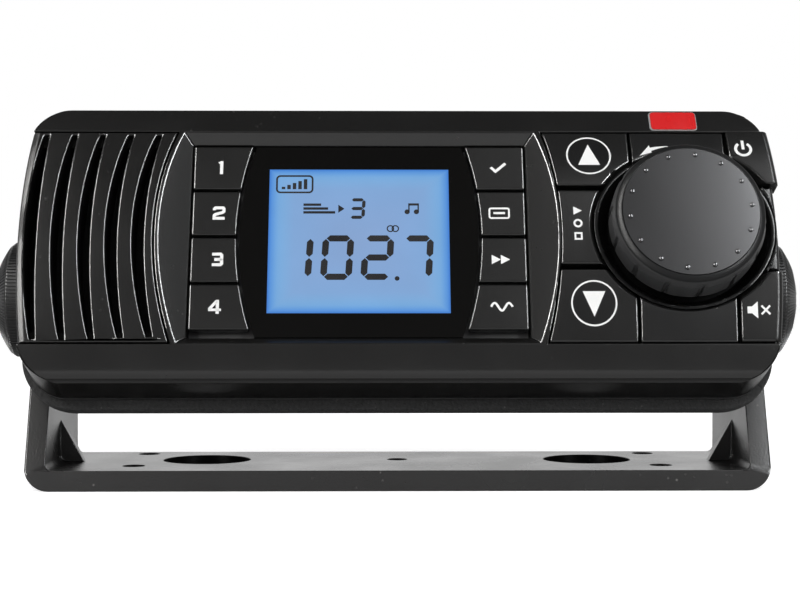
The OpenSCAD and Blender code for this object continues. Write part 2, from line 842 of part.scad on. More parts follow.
// Front view of one grille slot: a crescent between two arcs
module louvre_slot(index, shorten) {
    half = (pocket_top + pocket_bottom) / 2;
    outer_bow = louvre_bow + index * louvre_bow_step;
    outer_r = bow_r(half, outer_bow);
    inner_r = bow_r(half, outer_bow - louvre_narrowing);
    edge = -louvre_first + index * louvre_pitch;
    border = louvre_border + panel_gap + shorten;
    intersection() {
        difference() {
            translate([edge + outer_r, face_apex])
                circle(outer_r, $fn = wide_fn);
            translate([edge + louvre_w + inner_r, face_apex])
                circle(inner_r, $fn = wide_fn);
        }
        translate([edge - past, -pocket_bottom + border])
            square([louvre_w + outer_bow + 2 * past, 2 * half - 2 * border]);
    }
}

module louvre_grille() {
    color("#1a1a1a")
        in_head()
            difference() {
                intersection() {
                    along_y(-past, pocket_depth - cloth_t)
                        grille_place(panel_gap, cheek_x);
                    behind_face();
                }
                for (i = [0 : louvre_count - 1]) {
                    along_y(-past, louvre_step_y)
                        louvre_slot(i, 0);
                    along_y(louvre_step_y - past, pocket_depth)
                        louvre_slot(i, louvre_step);
                }
            }
}

module grille_cloth() {
    color("#0b0b0b")
        in_head()
            along_y(pocket_depth - cloth_t, pocket_depth)
                intersection() {
                    grille_place(panel_gap + fit, cheek_x);
                    translate([-face_w / 2 + fit, -face_h])
                        square([face_w, 2 * face_h]);
                }
}

module speaker_basket() {
    back_r = speaker_r / 2 + basket_t;
    rim = speaker_r - speaker_rim;
    color("#3a3a3c")
        in_head()
            revolve_y(-speaker_x, face_apex)
                translate([0, pocket_back])
                    polygon([
                        [0, basket_depth - basket_t], [back_r - basket_t, basket_depth - basket_t],
                        [rim, basket_t], [rim, 0], [speaker_r, 0], [speaker_r, speaker_rim_t],
                        [back_r, basket_depth], [0, basket_depth]
                    ]);
}

// The cone with its dust cap and its flat surround inside the basket's rim
module speaker_cone() {
    cap_r = speaker_r / 4;
    edge = speaker_r - speaker_rim - round_fit;
    color("#101010")
        in_head()
            revolve_y(-speaker_x, face_apex)
                translate([0, pocket_back])
                    polygon([
                        [0, cone_depth], [cap_r, cone_depth], [edge - surround_w, 0], [edge, 0],
                        [edge, cone_t], [edge - surround_w, cone_t],
                        [cap_r, cone_depth + cone_t], [0, cone_depth + cone_t]
                    ]);
}

module speaker_magnet() {
    color("#8a8c90")
        in_head()
            rod_y(-speaker_x, face_apex, speaker_r / 2, pocket_back + basket_depth, fascia_depth - end_gap);
}

// Front view of the place of each panel key, drawn in by a gap
module key_place(name, gap, outer) {
    left = name == "key_power" || name == "key_mute" ? knob_x + panel_split_x + gap : 0;
    right = name == "key_up" || name == "key_down" ? knob_x - panel_split_x - gap
        : name == "key_source" ? knob_x
        : face_w;
    split = name == "key_power" ? power_split
        : name == "key_mute" ? mute_split
        : panel_split_left;
    low = name == "key_up" || name == "key_power" ? knob_z + split + gap
        : name == "key_source" ? knob_z - split + gap
        : -face_h;
    high = name == "key_down" || name == "key_mute" ? knob_z - split - gap
        : name == "key_source" ? knob_z + split - gap
        : face_h;
    intersection() {
        panel_place(panel_gap, outer);
        translate([left, low])
            square([right - left, high - low]);
    }
}

module control_panel() {
    color("#1c1c1d")
        in_head()
            difference() {
                intersection() {
                    along_y(-past, pocket_depth)
                        panel_place(panel_gap, cheek_x);
                    behind_face();
                }
                difference() {
                    for (name = ["key_up", "key_source", "key_down", "key_power", "key_mute"])
                        along_y(-past, panel_shelf)
                            key_place(name, 0, face_w);
                    well_cone(0, pocket_depth);
                }
                well_cone(fit, well_depth + well_t);
                rod_y(knob_x, knob_z, bush_r + fit, -past, pocket_depth + past);
                at_panel_stems()
                    rod_y(0, 0, stem_d / 2 + stem_clear, -past, pocket_depth + past);
            }
}

module knob_well_ring() {
    color("#060606")
        in_head()
            difference() {
                intersection() {
                    well_cone(0, well_depth + well_t);
                    behind_face(ring_setback);
                }
                well_cone(-well_t, well_depth);
                rod_y(knob_x, knob_z, bush_r + fit, -2 * past, pocket_depth);
            }
}

module display_window() {
    color("#0a0a0b")
        in_head()
            along_y(window_front, window_back)
                intersection() {
                    deck_rect(-fit);
                    at_column(-1)
                        window_side(key_gap);
                    at_column(1)
                        window_side(key_gap);
                }
}

module display_frame() {
    lip = [lcd_view_w, lcd_view_h];
    ring = [lcd_w + 2 * lcd_wall, lcd_h + 2 * lcd_wall];
    color("#222224")
        in_head()
            difference() {
                union() {
                    along_y(core_front, pocket_back)
                        deck_rect(-fit);
                    along_y(pocket_back, frame_back)
                        deck_rect(frame_lap);
                    along_y(window_back, core_front)
                        translate([deck_x, lcd_z])
                            square(ring, center = true);
                    for (sx = [-1, 1], sz = [-1, 1])
                        rod_y(
                            deck_x + sx * board_post[0], sz * board_post[1], stand_r, pocket_back, board_front
                        );
                }
                along_y(window_back - past, lip_back + past)
                    translate([deck_x, lcd_z])
                        square(lip, center = true);
                along_y(lip_back, frame_back + past)
                    translate([deck_x, lcd_z])
                        square([lcd_w + 2 * fit, lcd_h + 2 * fit], center = true);
                for (side = [-1, 1], row = [0 : 3])
                    rod_y(
                        deck_x + side * column_stem_x, key_row_z(row), stem_d / 2 + stem_clear,
                        core_front - past, frame_back + past
                    );
            }
}

module lcd_panel() {
    color("#5f93c4")
        in_head()
            along_y(lip_back, lip_back + lcd_t)
                translate([deck_x, lcd_z])
                    square([lcd_w, lcd_h], center = true);
}

module lcd_backlight() {
    color("#dfe9f2")
        in_head()
            along_y(lip_back + lcd_t, lip_back + lcd_t + backlight_t)
                translate([deck_x, lcd_z])
                    square([lcd_w, lcd_h], center = true);
}

module control_board() {
    left = deck_x - deck_w / 2;
    right = face_w / 2 - fascia_wall - fit;
    color("#1d5b37")
        in_head()
            along_y(board_front, board_back)
                translate([left, -board_half_h])
                    square([right - left, 2 * board_half_h]);
}

module key_switch(x, z) {
    along_y(switch_top + switch_plunger, board_front)
        translate([x, z])
            square(switch_side, center = true);
    rod_y(x, z, stem_d / 2, switch_top, switch_top + switch_plunger);
}

module key_switches() {
    color("#2a2a2c")
        in_head() {
            for (side = [-1, 1], row = [0 : 3])
                key_switch(deck_x + side * column_stem_x, key_row_z(row));
            at_panel_stems()
                key_switch(0, 0);
        }
}

module encoder_body() {
    color("#9a9ca0")
        in_head()
            difference() {
                union() {
                    along_y(encoder_front, encoder_back)
                        translate([knob_x, knob_z])
                            square(encoder_side, center = true);
                    rod_y(knob_x, knob_z, bush_r, bush_front, encoder_front + past);
                }
                rod_y(knob_x, knob_z, shaft_r + run_clear, bush_front - past, encoder_back - past);
            }
}

module encoder_nut() {
    color("#b0b2b5")
        in_head()
            difference() {
                rod_hex(knob_x, knob_z, nut_af / sqrt(3), well_depth - nut_t, well_depth);
                rod_y(knob_x, knob_z, bush_r + round_fit, 0, well_depth + past);
            }
}

module rod_hex(x, z, r, from, to) {
    translate([x, from, z])
        rotate([-90, 0, 0])
            cylinder(r = r, h = to - from, $fn = 6);
}

module encoder_shaft() {
    color("#c2c4c8")
        in_head()
            rod_y(knob_x, knob_z, shaft_r, -shaft_top, encoder_back - past - end_gap);
}

// The knob's hard cap: a flat top with a bevel, a seat for the grip, and a boss for the shaft
module knob_cap() {
    inner = knob_seat_r - cap_wall;
    ceiling = -knob_rise + cap_t;
    bevel_r = knob_top_r + knob_bevel_w;
    bevel_y = -knob_rise + knob_bevel_h;
    boss = shaft_r + cap_wall;
    boss_end = bush_front - cap_gap;
    color("#2b2c2d")
        in_head()
            difference() {
                union() {
                    revolve_y(knob_x, knob_z)
                        polygon([
                            [0, -knob_rise], [knob_top_r, -knob_rise], [bevel_r, bevel_y],
                            [bevel_r, bevel_y + cap_edge], [knob_seat_r, bevel_y + cap_edge],
                            [knob_seat_r, knob_skirt], [inner, knob_skirt], [inner, ceiling],
                            [boss, ceiling], [boss, boss_end], [0, boss_end]
                        ]);
                    at_dots(0)
                        translate([knob_dot_pcd_r, knob_dot_sink - knob_rise, 0])
                            sphere(knob_dot_r, $fn = 24);
                }
                rod_y(knob_x, knob_z, shaft_r + round_fit, -shaft_top - end_gap, bush_front + past);
            }
}

// Repeats round the knob's axis what is drawn on the right of it
module at_dots(shift) {
    for (i = [0 : knob_dots - 1])
        translate([knob_x, 0, knob_z])
            rotate([0, (i + shift) * 360 / knob_dots - knob_dot_turn, 0])
                children();
}

// The soft grip ring, cut into pads by shallow notches
module knob_grip() {
    seat = knob_seat_r + round_fit;
    top = -knob_pad_top;
    bevel_r = knob_top_r + knob_bevel_w;
    color("#1b1b1c")
        in_head()
            difference() {
                revolve_y(knob_x, knob_z)
                    polygon([
                        [seat, top], [bevel_r, top], [(bevel_r + knob_r) / 2, top + grip_shoulder / 2],
                        [knob_r, top + grip_shoulder], [knob_r, knob_skirt - grip_foot],
                        [knob_r - grip_foot, knob_skirt], [seat, knob_skirt]
                    ]);
                at_dots(0.5)
                    translate([knob_r - grip_notch, top + grip_shoulder / 2, -grip_notch_w / 2])
                        cube([knob_r, knob_skirt - top, grip_notch_w]);
            }
}

module sealing_gasket() {
    color("#232323")
        in_head()
            along_y(flange_back, gasket_back)
                difference() {
                    face_outline(gasket_lip, gasket_corner_r);
                    rounded_rect(housing_w + 2 * fit, housing_h + 2 * fit, housing_corner_r + fit);
                }
}

module rear_housing() {
    inner_w = housing_w - 2 * housing_wall;
    inner_h = housing_h - 2 * housing_wall;
    color("#18191a") {
        difference() {
            union() {
                in_head() {
                    along_y(fascia_depth, flange_back)
                        face_outline(-fit, face_corner_r - fit);
                    along_y(flange_back - past, housing_depth)
                        rounded_rect(housing_w, housing_h, housing_corner_r);
                    for (i = [0 : housing_ribs - 1])
                        housing_rib((i / (housing_ribs - 1) - 0.5) * (inner_w - 2 * housing_rib_in));
                }
                for (side = [-1, 1])
                    rod_pivot(side, boss_r, housing_w / 2 - past, boss_out);
            }
            in_head()
                along_y(fascia_depth - past, housing_depth + past)
                    rounded_rect(inner_w, inner_h, housing_corner_r - housing_wall);
            for (side = [-1, 1])
                rod_pivot(side, insert_r + round_fit, insert_in - past, boss_out + past);
            in_head()
                at_corners(screw_post) {
                    rod_y(0, 0, screw_r + round_fit, fascia_depth - past, flange_back);
                    rod_y(0, 0, screw_head_r + fit, flange_back - screw_head_t - end_gap, flange_back + past);
                }
        }
        in_head()
            housing_posts();
        difference() {
            insert_bosses(0);
            for (side = [-1, 1])
                rod_pivot(side, insert_r + round_fit, insert_in - past, boss_out + past);
        }
    }
}

// Bosses round the threaded inserts inside the housing's side walls
module insert_bosses(gap) {
    for (side = [-1, 1])
        rod_pivot(side, insert_r + insert_wall + gap, insert_in - gap, (housing_w - housing_wall) / 2);
}

// One rib along the top and the underside of the housing
module housing_rib(x) {
    for (low = [housing_h / 2 - past, -housing_h / 2 - housing_rib_h])
        translate([x - housing_rib_w / 2, gasket_back + rib_end, low])
            cube([housing_rib_w, housing_depth - gasket_back - 2 * rib_end, housing_rib_h + past]);
}

// Posts under the main board, and posts in the corners for the heat sink's screws
module housing_posts() {
    for (sx = [-1, 1], sy = [-1, 1])
        translate([sx * main_post[0], main_board_y + sy * main_post[1], -housing_h / 2 + housing_wall / 2])
            cylinder(r = post_r, h = main_post_h + housing_wall / 2);
    at_corners(sink_screw)
        difference() {
            rod_y(0, 0, post_r, housing_depth - sink_post_l, housing_depth);
            rod_y(0, 0, screw_r + round_fit, housing_depth - sink_screw_l - end_gap, housing_depth + past);
        }
}

module flange_screws() {
    color("#8f9195")
        in_head()
            at_corners(screw_post) {
                rod_y(0, 0, screw_head_r, flange_back - screw_head_t - end_gap, flange_back - end_gap);
                rod_y(0, 0, screw_r, pocket_back + past, flange_back - screw_head_t / 2);
            }
}

module heat_sink() {
    color("#202123")
        in_head()
            difference() {
                union() {
                    along_y(housing_depth, sink_back)
                        rounded_rect(housing_w, housing_h, housing_corner_r);
                    for (i = [0 : fin_count - 1])
                        translate([fin_x(i) - fin_t / 2, sink_back - past, -fin_field_h / 2])
                            cube([fin_t, fin_h + past, fin_field_h]);
                }
                rod_y(-socket_x, antenna_z, antenna_neck + round_fit, housing_depth - past, sink_back + past);
                rod_y(-socket_x, -grommet_z, grommet_r + round_fit, housing_depth - past, sink_back + past);
                at_corners(sink_screw)
                    rod_y(0, 0, screw_r + fit, housing_depth - past, sink_back + past);
                translate([0, pivot_back, pivot_rise])
                    rotate([tilt, 0, 0])
                        translate([0, -pivot_y, -pivot_z]) {
                            insert_bosses(fit);
                            for (side = [-1, 1])
                                rod_pivot(side, boss_r + fit, housing_w / 2 - past - fit, boss_out);
                        }
            }
}

module heat_sink_screws() {
    color("#8f9195")
        in_head()
            at_corners(sink_screw) {
                rod_y(0, 0, screw_head_r, sink_back, sink_back + sink_head_t);
                rod_y(0, 0, screw_r, housing_depth - sink_screw_l, sink_back + sink_head_t / 2);
            }
}

module main_board() {
    color("#1d5b37")
        in_head()
            translate([-main_board_w / 2, main_board_y - main_board_l / 2, main_board_z])
                cube([main_board_w, main_board_l, board_t]);
}

module amplifier_chip() {
    color("#151515")
        in_head()
            translate([-chip_w / 2, housing_depth - chip_t, main_board_z + board_t + chip_lift])
                cube([chip_w, chip_t, chip_h]);
}

module antenna_socket() {
    color("#b9bcc0")
        in_head()
            difference() {
                union() {
                    rod_y(-socket_x, antenna_z, antenna_r, sink_back, sink_back + antenna_l);
                    rod_y(
                        -socket_x, antenna_z, antenna_neck, housing_depth - antenna_neck_l, sink_back + past
                    );
                }
                rod_y(
                    -socket_x, antenna_z, antenna_bore_r,
                    sink_back + antenna_floor, sink_back + antenna_l + past
                );
            }
}

module cable_grommet() {
    lip = grommet_r + grommet_lip;
    color("#101010")
        in_head()
            revolve_y(-socket_x, -grommet_z)
                polygon([
                    [grommet_bore_r, housing_depth - grommet_lip_t], [lip, housing_depth - grommet_lip_t],
                    [lip, housing_depth], [grommet_r, housing_depth],
                    [grommet_r, sink_back], [lip, sink_back],
                    [lip, sink_back + grommet_lip_t], [grommet_bore_r, sink_back + grommet_lip_t]
                ]);
}

module pivot_inserts() {
    color("#b08d4a")
        for (side = [-1, 1])
            difference() {
                rod_pivot(side, insert_r, insert_in, boss_out);
                rod_pivot(side, stud_r + run_clear, insert_in - past, boss_out + past);
            }
}

module friction_washers() {
    color("#2d2d2d")
        for (side = [-1, 1])
            difference() {
                rod_pivot(side, boss_r, boss_out, boss_out + friction_t);
                rod_pivot(side, stud_r + pass_room, boss_out - past, boss_out + friction_t + past);
            }
}

// Stem with its clip ring, seated behind the given wall
module key_stem(x, z, from, wall_back) {
    rod_y(x, z, stem_d / 2, from, stem_end);
    rod_y(x, z, clip_d / 2, wall_back + key_play, wall_back + key_play + clip_t);
}

// A key of the two columns, counted from the top
module column_key(side, row) {
    z = key_row_z(row);
    color("#1d1d1e")
        in_head() {
            along_y(key_front, key_back)
                at_column(side)
                    difference() {
                        translate([-key_span / 2, z - (key_pitch - key_gap) / 2])
                            square([key_span / 2, key_pitch - key_gap]);
                        window_side(0);
                    }
            key_stem(deck_x + side * column_stem_x, z, key_back - past, frame_back);
        }
}

// A key of the control panel
module panel_key(name, stem, proud) {
    color("#1d1d1e")
        in_head() {
            difference() {
                intersection() {
                    along_y(-past - proud, panel_key_back)
                        key_place(name, key_gap, cheek_x + proud);
                    behind_face(-proud);
                }
                well_cone(key_gap, pocket_depth);
            }
            key_stem(knob_x + stem[0], knob_z + stem[1], panel_key_back - past, pocket_back);
        }
}

module clamp_washer(side) {
    color("#9b9da1")
        difference() {
            rod_pivot(side, clamp_washer_r, clamp_washer_in, clamp_in);
            rod_pivot(side, stud_r + fit, clamp_washer_in - past, clamp_in + past);
        }
}

// Domed clamp knob with a coin slot across it, drawn on the left and mirrored
module clamp_knob(side) {
    dome_r = bow_r(clamp_r, clamp_h - clamp_rim_h);
    slot = clamp_in + clamp_h - coin_slot_d;
    color("#151516")
        mirror([side > 0 ? 1 : 0, 0, 0])
            difference() {
                intersection() {
                    rod_pivot(-1, clamp_r, clamp_in, clamp_in + clamp_h);
                    translate([-clamp_in - clamp_h + dome_r, pivot_y, pivot_z])
                        sphere(dome_r);
                }
                translate([-slot - clamp_h, pivot_y - clamp_r, pivot_z - coin_slot_w / 2])
                    cube([clamp_h, 2 * clamp_r, coin_slot_w]);
                rod_pivot(-1, stud_r + round_fit, clamp_in - past, stud_out + end_gap);
            }
}

module clamp_stud(side) {
    color("#c5c7ca")
        rod_pivot(side, stud_r, stud_in, stud_out);
}

gimbal_bracket();
front_fascia();
louvre_grille();
grille_cloth();
speaker_basket();
speaker_cone();
speaker_magnet();
control_panel();
knob_well_ring();
display_window();
display_frame();
lcd_panel();
lcd_backlight();
control_board();
key_switches();
encoder_body();
encoder_nut();
sealing_gasket();
rear_housing();
flange_screws();
heat_sink();
heat_sink_screws();
main_board();
amplifier_chip();
antenna_socket();
cable_grommet();
pivot_inserts();
friction_washers();
knob_cap();
knob_grip();
encoder_shaft();
column_key(-1, 0);  // key_preset_1
column_key(-1, 1);  // key_preset_2
column_key(-1, 2);  // key_preset_3
column_key(-1, 3);  // key_preset_4
column_key(1, 0);  // key_select
column_key(1, 1);  // key_display
column_key(1, 2);  // key_scan
column_key(1, 3);  // key_band
panel_key("key_up", stem_up, 0);  // key_up
panel_key("key_source", stem_source, 0);  // key_source
panel_key("key_down", stem_down, 0);  // key_down
panel_key("key_power", stem_power, power_proud);  // key_power
panel_key("key_mute", stem_mute, mute_proud);  // key_mute
clamp_washer(-1);  // left_clamp_washer
clamp_washer(1);  // right_clamp_washer
clamp_knob(-1);  // left_clamp_knob
clamp_knob(1);  // right_clamp_knob
clamp_stud(-1);  // left_clamp_stud
clamp_stud(1);  // right_clamp_stud
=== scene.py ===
import math

import bmesh
import bpy
from mathutils import Matrix, Vector


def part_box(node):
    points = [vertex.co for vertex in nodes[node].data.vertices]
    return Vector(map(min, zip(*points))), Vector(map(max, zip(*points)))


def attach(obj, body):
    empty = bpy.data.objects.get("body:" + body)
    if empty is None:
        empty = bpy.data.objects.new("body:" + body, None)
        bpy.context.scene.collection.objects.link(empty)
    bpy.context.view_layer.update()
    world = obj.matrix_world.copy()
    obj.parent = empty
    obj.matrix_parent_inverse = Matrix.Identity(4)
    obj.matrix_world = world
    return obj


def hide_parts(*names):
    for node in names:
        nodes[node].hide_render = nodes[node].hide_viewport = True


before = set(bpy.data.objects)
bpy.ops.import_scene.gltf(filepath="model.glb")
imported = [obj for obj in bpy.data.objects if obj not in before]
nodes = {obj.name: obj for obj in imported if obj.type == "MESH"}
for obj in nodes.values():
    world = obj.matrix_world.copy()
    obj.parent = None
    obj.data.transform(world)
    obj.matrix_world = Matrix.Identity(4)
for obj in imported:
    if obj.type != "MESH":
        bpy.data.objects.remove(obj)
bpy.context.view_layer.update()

# The head leans back about the clamp axis. Head places are given in millimetres:
# x to the right, y behind the middle of the face, z up along the face.
TILT = math.radians(21.5)
COS, SIN = math.cos(TILT), math.sin(TILT)
PIVOT_Y, PIVOT_Z = 8.2, 43.5
PIVOT_DEPTH, PIVOT_RISE = 42.4, 0.5
FACE_BOW = 100.0
FACE_CENTRE_Z = 1.0


def head(x, y, z):
    """A place on the upright head, in mm, as a place in the scene, in metres."""
    back, rise = y - PIVOT_DEPTH, z - PIVOT_RISE
    return Vector((x, PIVOT_Y + back * COS + rise * SIN, PIVOT_Z - back * SIN + rise * COS)) / 1000


def upright(place):
    """The depth and height on the upright head, in mm, of a place in the scene in mm."""
    back, rise = place.y - PIVOT_Y, place.z - PIVOT_Z
    return PIVOT_DEPTH + back * COS - rise * SIN, PIVOT_RISE + back * SIN + rise * COS


def face_depth(z):
    """How far the bowed face lies behind its foremost line at height z."""
    return FACE_BOW - math.sqrt(FACE_BOW ** 2 - (z - FACE_CENTRE_Z) ** 2)


def behind_face(place):
    """How far a place in the scene, in mm, lies behind the bowed face."""
    depth, height = upright(place)
    return depth - face_depth(height)


def on_face(proud=0.0):
    """Places on the bowed face, lifted off it by the given height."""
    return lambda u, v, lift: head(u, face_depth(v) - proud - lift, v)


def on_flat(depth):
    """Places on a flat face parallel to the display."""
    return lambda u, v, lift: head(u, depth - lift, v)


# Node tools

def node(tree, kind, x=0, y=0, inputs=None, **values):
    """A node at a place in its tree, with its settings and the values of its inputs."""
    made = tree.nodes.new(kind)
    made.location = (x, y)
    for name, value in values.items():
        setattr(made, name, value)
    set_inputs(made, inputs or {})
    return made


def set_inputs(target, inputs):
    for name, value in inputs.items():
        target.inputs[name].default_value = value


def colour_ramp(tree, x, y, stops):
    """A colour ramp with the given places and colours."""
    made = node(tree, "ShaderNodeValToRGB", x, y)
    elements = made.color_ramp.elements
    for element, (position, colour) in zip(elements, (stops[0], stops[-1])):
        element.position = position
        element.color = (*colour, 1)
    for position, colour in stops[1:-1]:
        elements.new(position).color = (*colour, 1)
    return made


def new_material(name):
    """A new material with its tree and its surface shader."""
    made = bpy.data.materials.new(name)
    made.use_nodes = True
    return made, made.node_tree, made.node_tree.nodes["Principled BSDF"]


def shader_group(name, inputs, outputs):
    """An empty node group with named number sockets."""
    group = bpy.data.node_groups.new(name, "ShaderNodeTree")
    for label, value in inputs.items():
        socket = group.interface.new_socket(label, in_out="INPUT", socket_type="NodeSocketFloat")
        socket.default_value = value
    for label in outputs:
        group.interface.new_socket(label, in_out="OUTPUT", socket_type="NodeSocketFloat")
    return group, node(group, "NodeGroupInput", -900), node(group, "NodeGroupOutput", 600)


def make_grain():
    """Fine moulded grain: a height for the bump, a tone for colour and a tone for roughness."""
    group, start, end = shader_group("moulded_grain", {"Grain Scale": 3500.0, "Cloud Scale": 60.0},
                                     ["Height", "Fine Tone", "Cloud"])
    place = node(group, "ShaderNodeTexCoord", -900, -250)
    fine = node(group, "ShaderNodeTexNoise", -500, 150, {"Detail": 2.0, "Roughness": 0.55})
    cloud = node(group, "ShaderNodeTexNoise", -500, -200, {"Detail": 3.0})
    links = group.links
    for texture, scale in ((fine, "Grain Scale"), (cloud, "Cloud Scale")):
        links.new(place.outputs["Object"], texture.inputs["Vector"])
        links.new(start.outputs[scale], texture.inputs["Scale"])
    links.new(fine.outputs["Fac"], end.inputs["Height"])
    links.new(fine.outputs["Fac"], end.inputs["Fine Tone"])
    links.new(cloud.outputs["Fac"], end.inputs["Cloud"])
    return group


def make_dust():
    """Sparse pale specks that lie on the surface."""
    group, start, end = shader_group("fine_dust", {"Speck Scale": 700.0, "Amount": 0.1}, ["Specks"])
    place = node(group, "ShaderNodeTexCoord", -900, -250)
    cells = node(group, "ShaderNodeTexVoronoi", -600, 100)
    patches = node(group, "ShaderNodeTexNoise", -600, -250, {"Scale": 190.0, "Detail": 3.0})
    near = node(group, "ShaderNodeMapRange", -350, 100, {"From Min": 0.22, "From Max": 0.08})
    rare = node(group, "ShaderNodeMapRange", -350, -250, {"From Min": 0.56, "From Max": 0.74})
    both = node(group, "ShaderNodeMath", -100, operation="MULTIPLY")
    scaled = node(group, "ShaderNodeMath", 150, operation="MULTIPLY", use_clamp=True)
    links = group.links
    links.new(place.outputs["Object"], cells.inputs["Vector"])
    links.new(start.outputs["Speck Scale"], cells.inputs["Scale"])
    links.new(place.outputs["Object"], patches.inputs["Vector"])
    links.new(cells.outputs["Distance"], near.inputs["Value"])
    links.new(patches.outputs["Fac"], rare.inputs["Value"])
    links.new(near.outputs["Result"], both.inputs[0])
    links.new(rare.outputs["Result"], both.inputs[1])
    links.new(both.outputs[0], scaled.inputs[0])
    links.new(start.outputs["Amount"], scaled.inputs[1])
    links.new(scaled.outputs[0], end.inputs["Specks"])
    return group


GRAIN = make_grain()
DUST = make_dust()
DUST_COLOUR = (0.30, 0.29, 0.28, 1)
CLOUD_SCALE = 55.0


def material(name, colour, roughness, grain=3500.0, bump=0.00002, tone=0.16, rough_play=0.08, specular=0.5,
             metallic=0.0, coat=0.0, sheen=0.0, dust=0.0, speck=700.0, painted_shade=None):
    """A moulded, painted or plated surface with grain in its colour, roughness and height.

    The last argument gives the specular level and roughness of faces marked for painted shade: lower
    reflection.
    """
    made, tree, shader = new_material(name)
    group = node(tree, "ShaderNodeGroup", -900, 0, {"Grain Scale": grain, "Cloud Scale": CLOUD_SCALE},
                 node_tree=GRAIN)
    dark = [channel * (1 - tone) for channel in colour]
    light = [min(1.0, channel * (1 + tone)) for channel in colour]
    shade = node(tree, "ShaderNodeMix", -350, 200, {"A": (*dark, 1), "B": (*light, 1)}, data_type="RGBA")
    rough = node(tree, "ShaderNodeMapRange", -350, -50,
                 {"From Min": 0.3, "From Max": 0.7, "To Min": max(0.02, roughness - rough_play),
                  "To Max": min(1.0, roughness + rough_play)})
    raised = node(tree, "ShaderNodeBump", -350, -350, {"Strength": 1.0, "Distance": bump})
    links = tree.links
    links.new(group.outputs["Fine Tone"], shade.inputs["Factor"])
    links.new(group.outputs["Cloud"], rough.inputs["Value"])
    links.new(group.outputs["Height"], raised.inputs["Height"])
    colour_out, rough_out = shade.outputs["Result"], rough.outputs["Result"]
    if dust:
        specks = node(tree, "ShaderNodeGroup", -900, 350, {"Speck Scale": speck, "Amount": dust},
                      node_tree=DUST)
        dusty = node(tree, "ShaderNodeMix", -150, 300, {"B": DUST_COLOUR}, data_type="RGBA")
        links.new(specks.outputs["Specks"], dusty.inputs["Factor"])
        links.new(colour_out, dusty.inputs["A"])
        colour_out = dusty.outputs["Result"]
    set_inputs(shader, {"Metallic": metallic, "Coat Weight": coat, "Coat Roughness": 0.05,
                        "Sheen Weight": sheen})
    # Painted shade: marked faces take a lower specular level and a higher roughness, so they read darker as
    # if shaded.
    if painted_shade:
        marked = node(tree, "ShaderNodeAttribute", -600, -600, attribute_name="painted_shade")
        level = node(tree, "ShaderNodeMix", -150, -500, {"A": specular, "B": painted_shade[0]}, data_type="FLOAT")
        coarse = node(tree, "ShaderNodeMix", -150, -100, {"B": painted_shade[1]}, data_type="FLOAT")
        links.new(rough_out, coarse.inputs["A"])
        for mixed in (level, coarse):
            mixed.clamp_factor = False
            links.new(marked.outputs["Fac"], mixed.inputs["Factor"])
        links.new(level.outputs["Result"], shader.inputs["Specular IOR Level"])
        rough_out = coarse.outputs["Result"]
    else:
        set_inputs(shader, {"Specular IOR Level": specular})
    links.new(colour_out, shader.inputs["Base Color"])
    links.new(rough_out, shader.inputs["Roughness"])
    links.new(raised.outputs["Normal"], shader.inputs["Normal"])
    return made


def display_material():
    """The lit display: bright blue at its edges, paler and greyer in the middle."""
    made, tree, shader = new_material("lit_display")
    links = tree.links
    place = node(tree, "ShaderNodeUVMap", -1500, 0, uv_map="display")
    parts = node(tree, "ShaderNodeSeparateXYZ", -1300, 0)
    links.new(place.outputs["UV"], parts.inputs[0])
    nearest = node(tree, "ShaderNodeMath", -700, 0, operation="MAXIMUM")
    for row, label in enumerate(("X", "Y")):
        centred = node(tree, "ShaderNodeMath", -1100, -200 * row, {1: 0.5}, operation="SUBTRACT")
        links.new(parts.outputs[label], centred.inputs[0])
        size = node(tree, "ShaderNodeMath", -900, -200 * row, operation="ABSOLUTE")
        links.new(centred.outputs[0], size.inputs[0])
        links.new(size.outputs[0], nearest.inputs[row])
    ramp = colour_ramp(tree, -450, 0, [(0.0, (0.235, 0.365, 0.62)), (0.36, (0.21, 0.37, 0.66)),
                                       (0.445, (0.19, 0.42, 0.72)), (0.485, (0.075, 0.27, 0.70)),
                                       (0.5, (0.04, 0.18, 0.60))])
    ramp.color_ramp.interpolation = "B_SPLINE"
    links.new(nearest.outputs[0], ramp.inputs["Fac"])
    cloud = node(tree, "ShaderNodeTexNoise", -700, -300, {"Scale": 3.0})
    links.new(place.outputs["UV"], cloud.inputs["Vector"])
    uneven = node(tree, "ShaderNodeMapRange", -450, -300, {"To Min": 0.92, "To Max": 1.06})
    links.new(cloud.outputs["Fac"], uneven.inputs["Value"])
    glow = node(tree, "ShaderNodeVectorMath", -150, -100, operation="SCALE")
    links.new(ramp.outputs["Color"], glow.inputs[0])
    links.new(uneven.outputs["Result"], glow.inputs["Scale"])
    links.new(glow.outputs["Vector"], shader.inputs["Emission Color"])
    set_inputs(shader, {"Emission Strength": 1.0, "Base Color": (0.01, 0.012, 0.015, 1), "Roughness": 0.12,
                        "Specular IOR Level": 0.3})
    return made


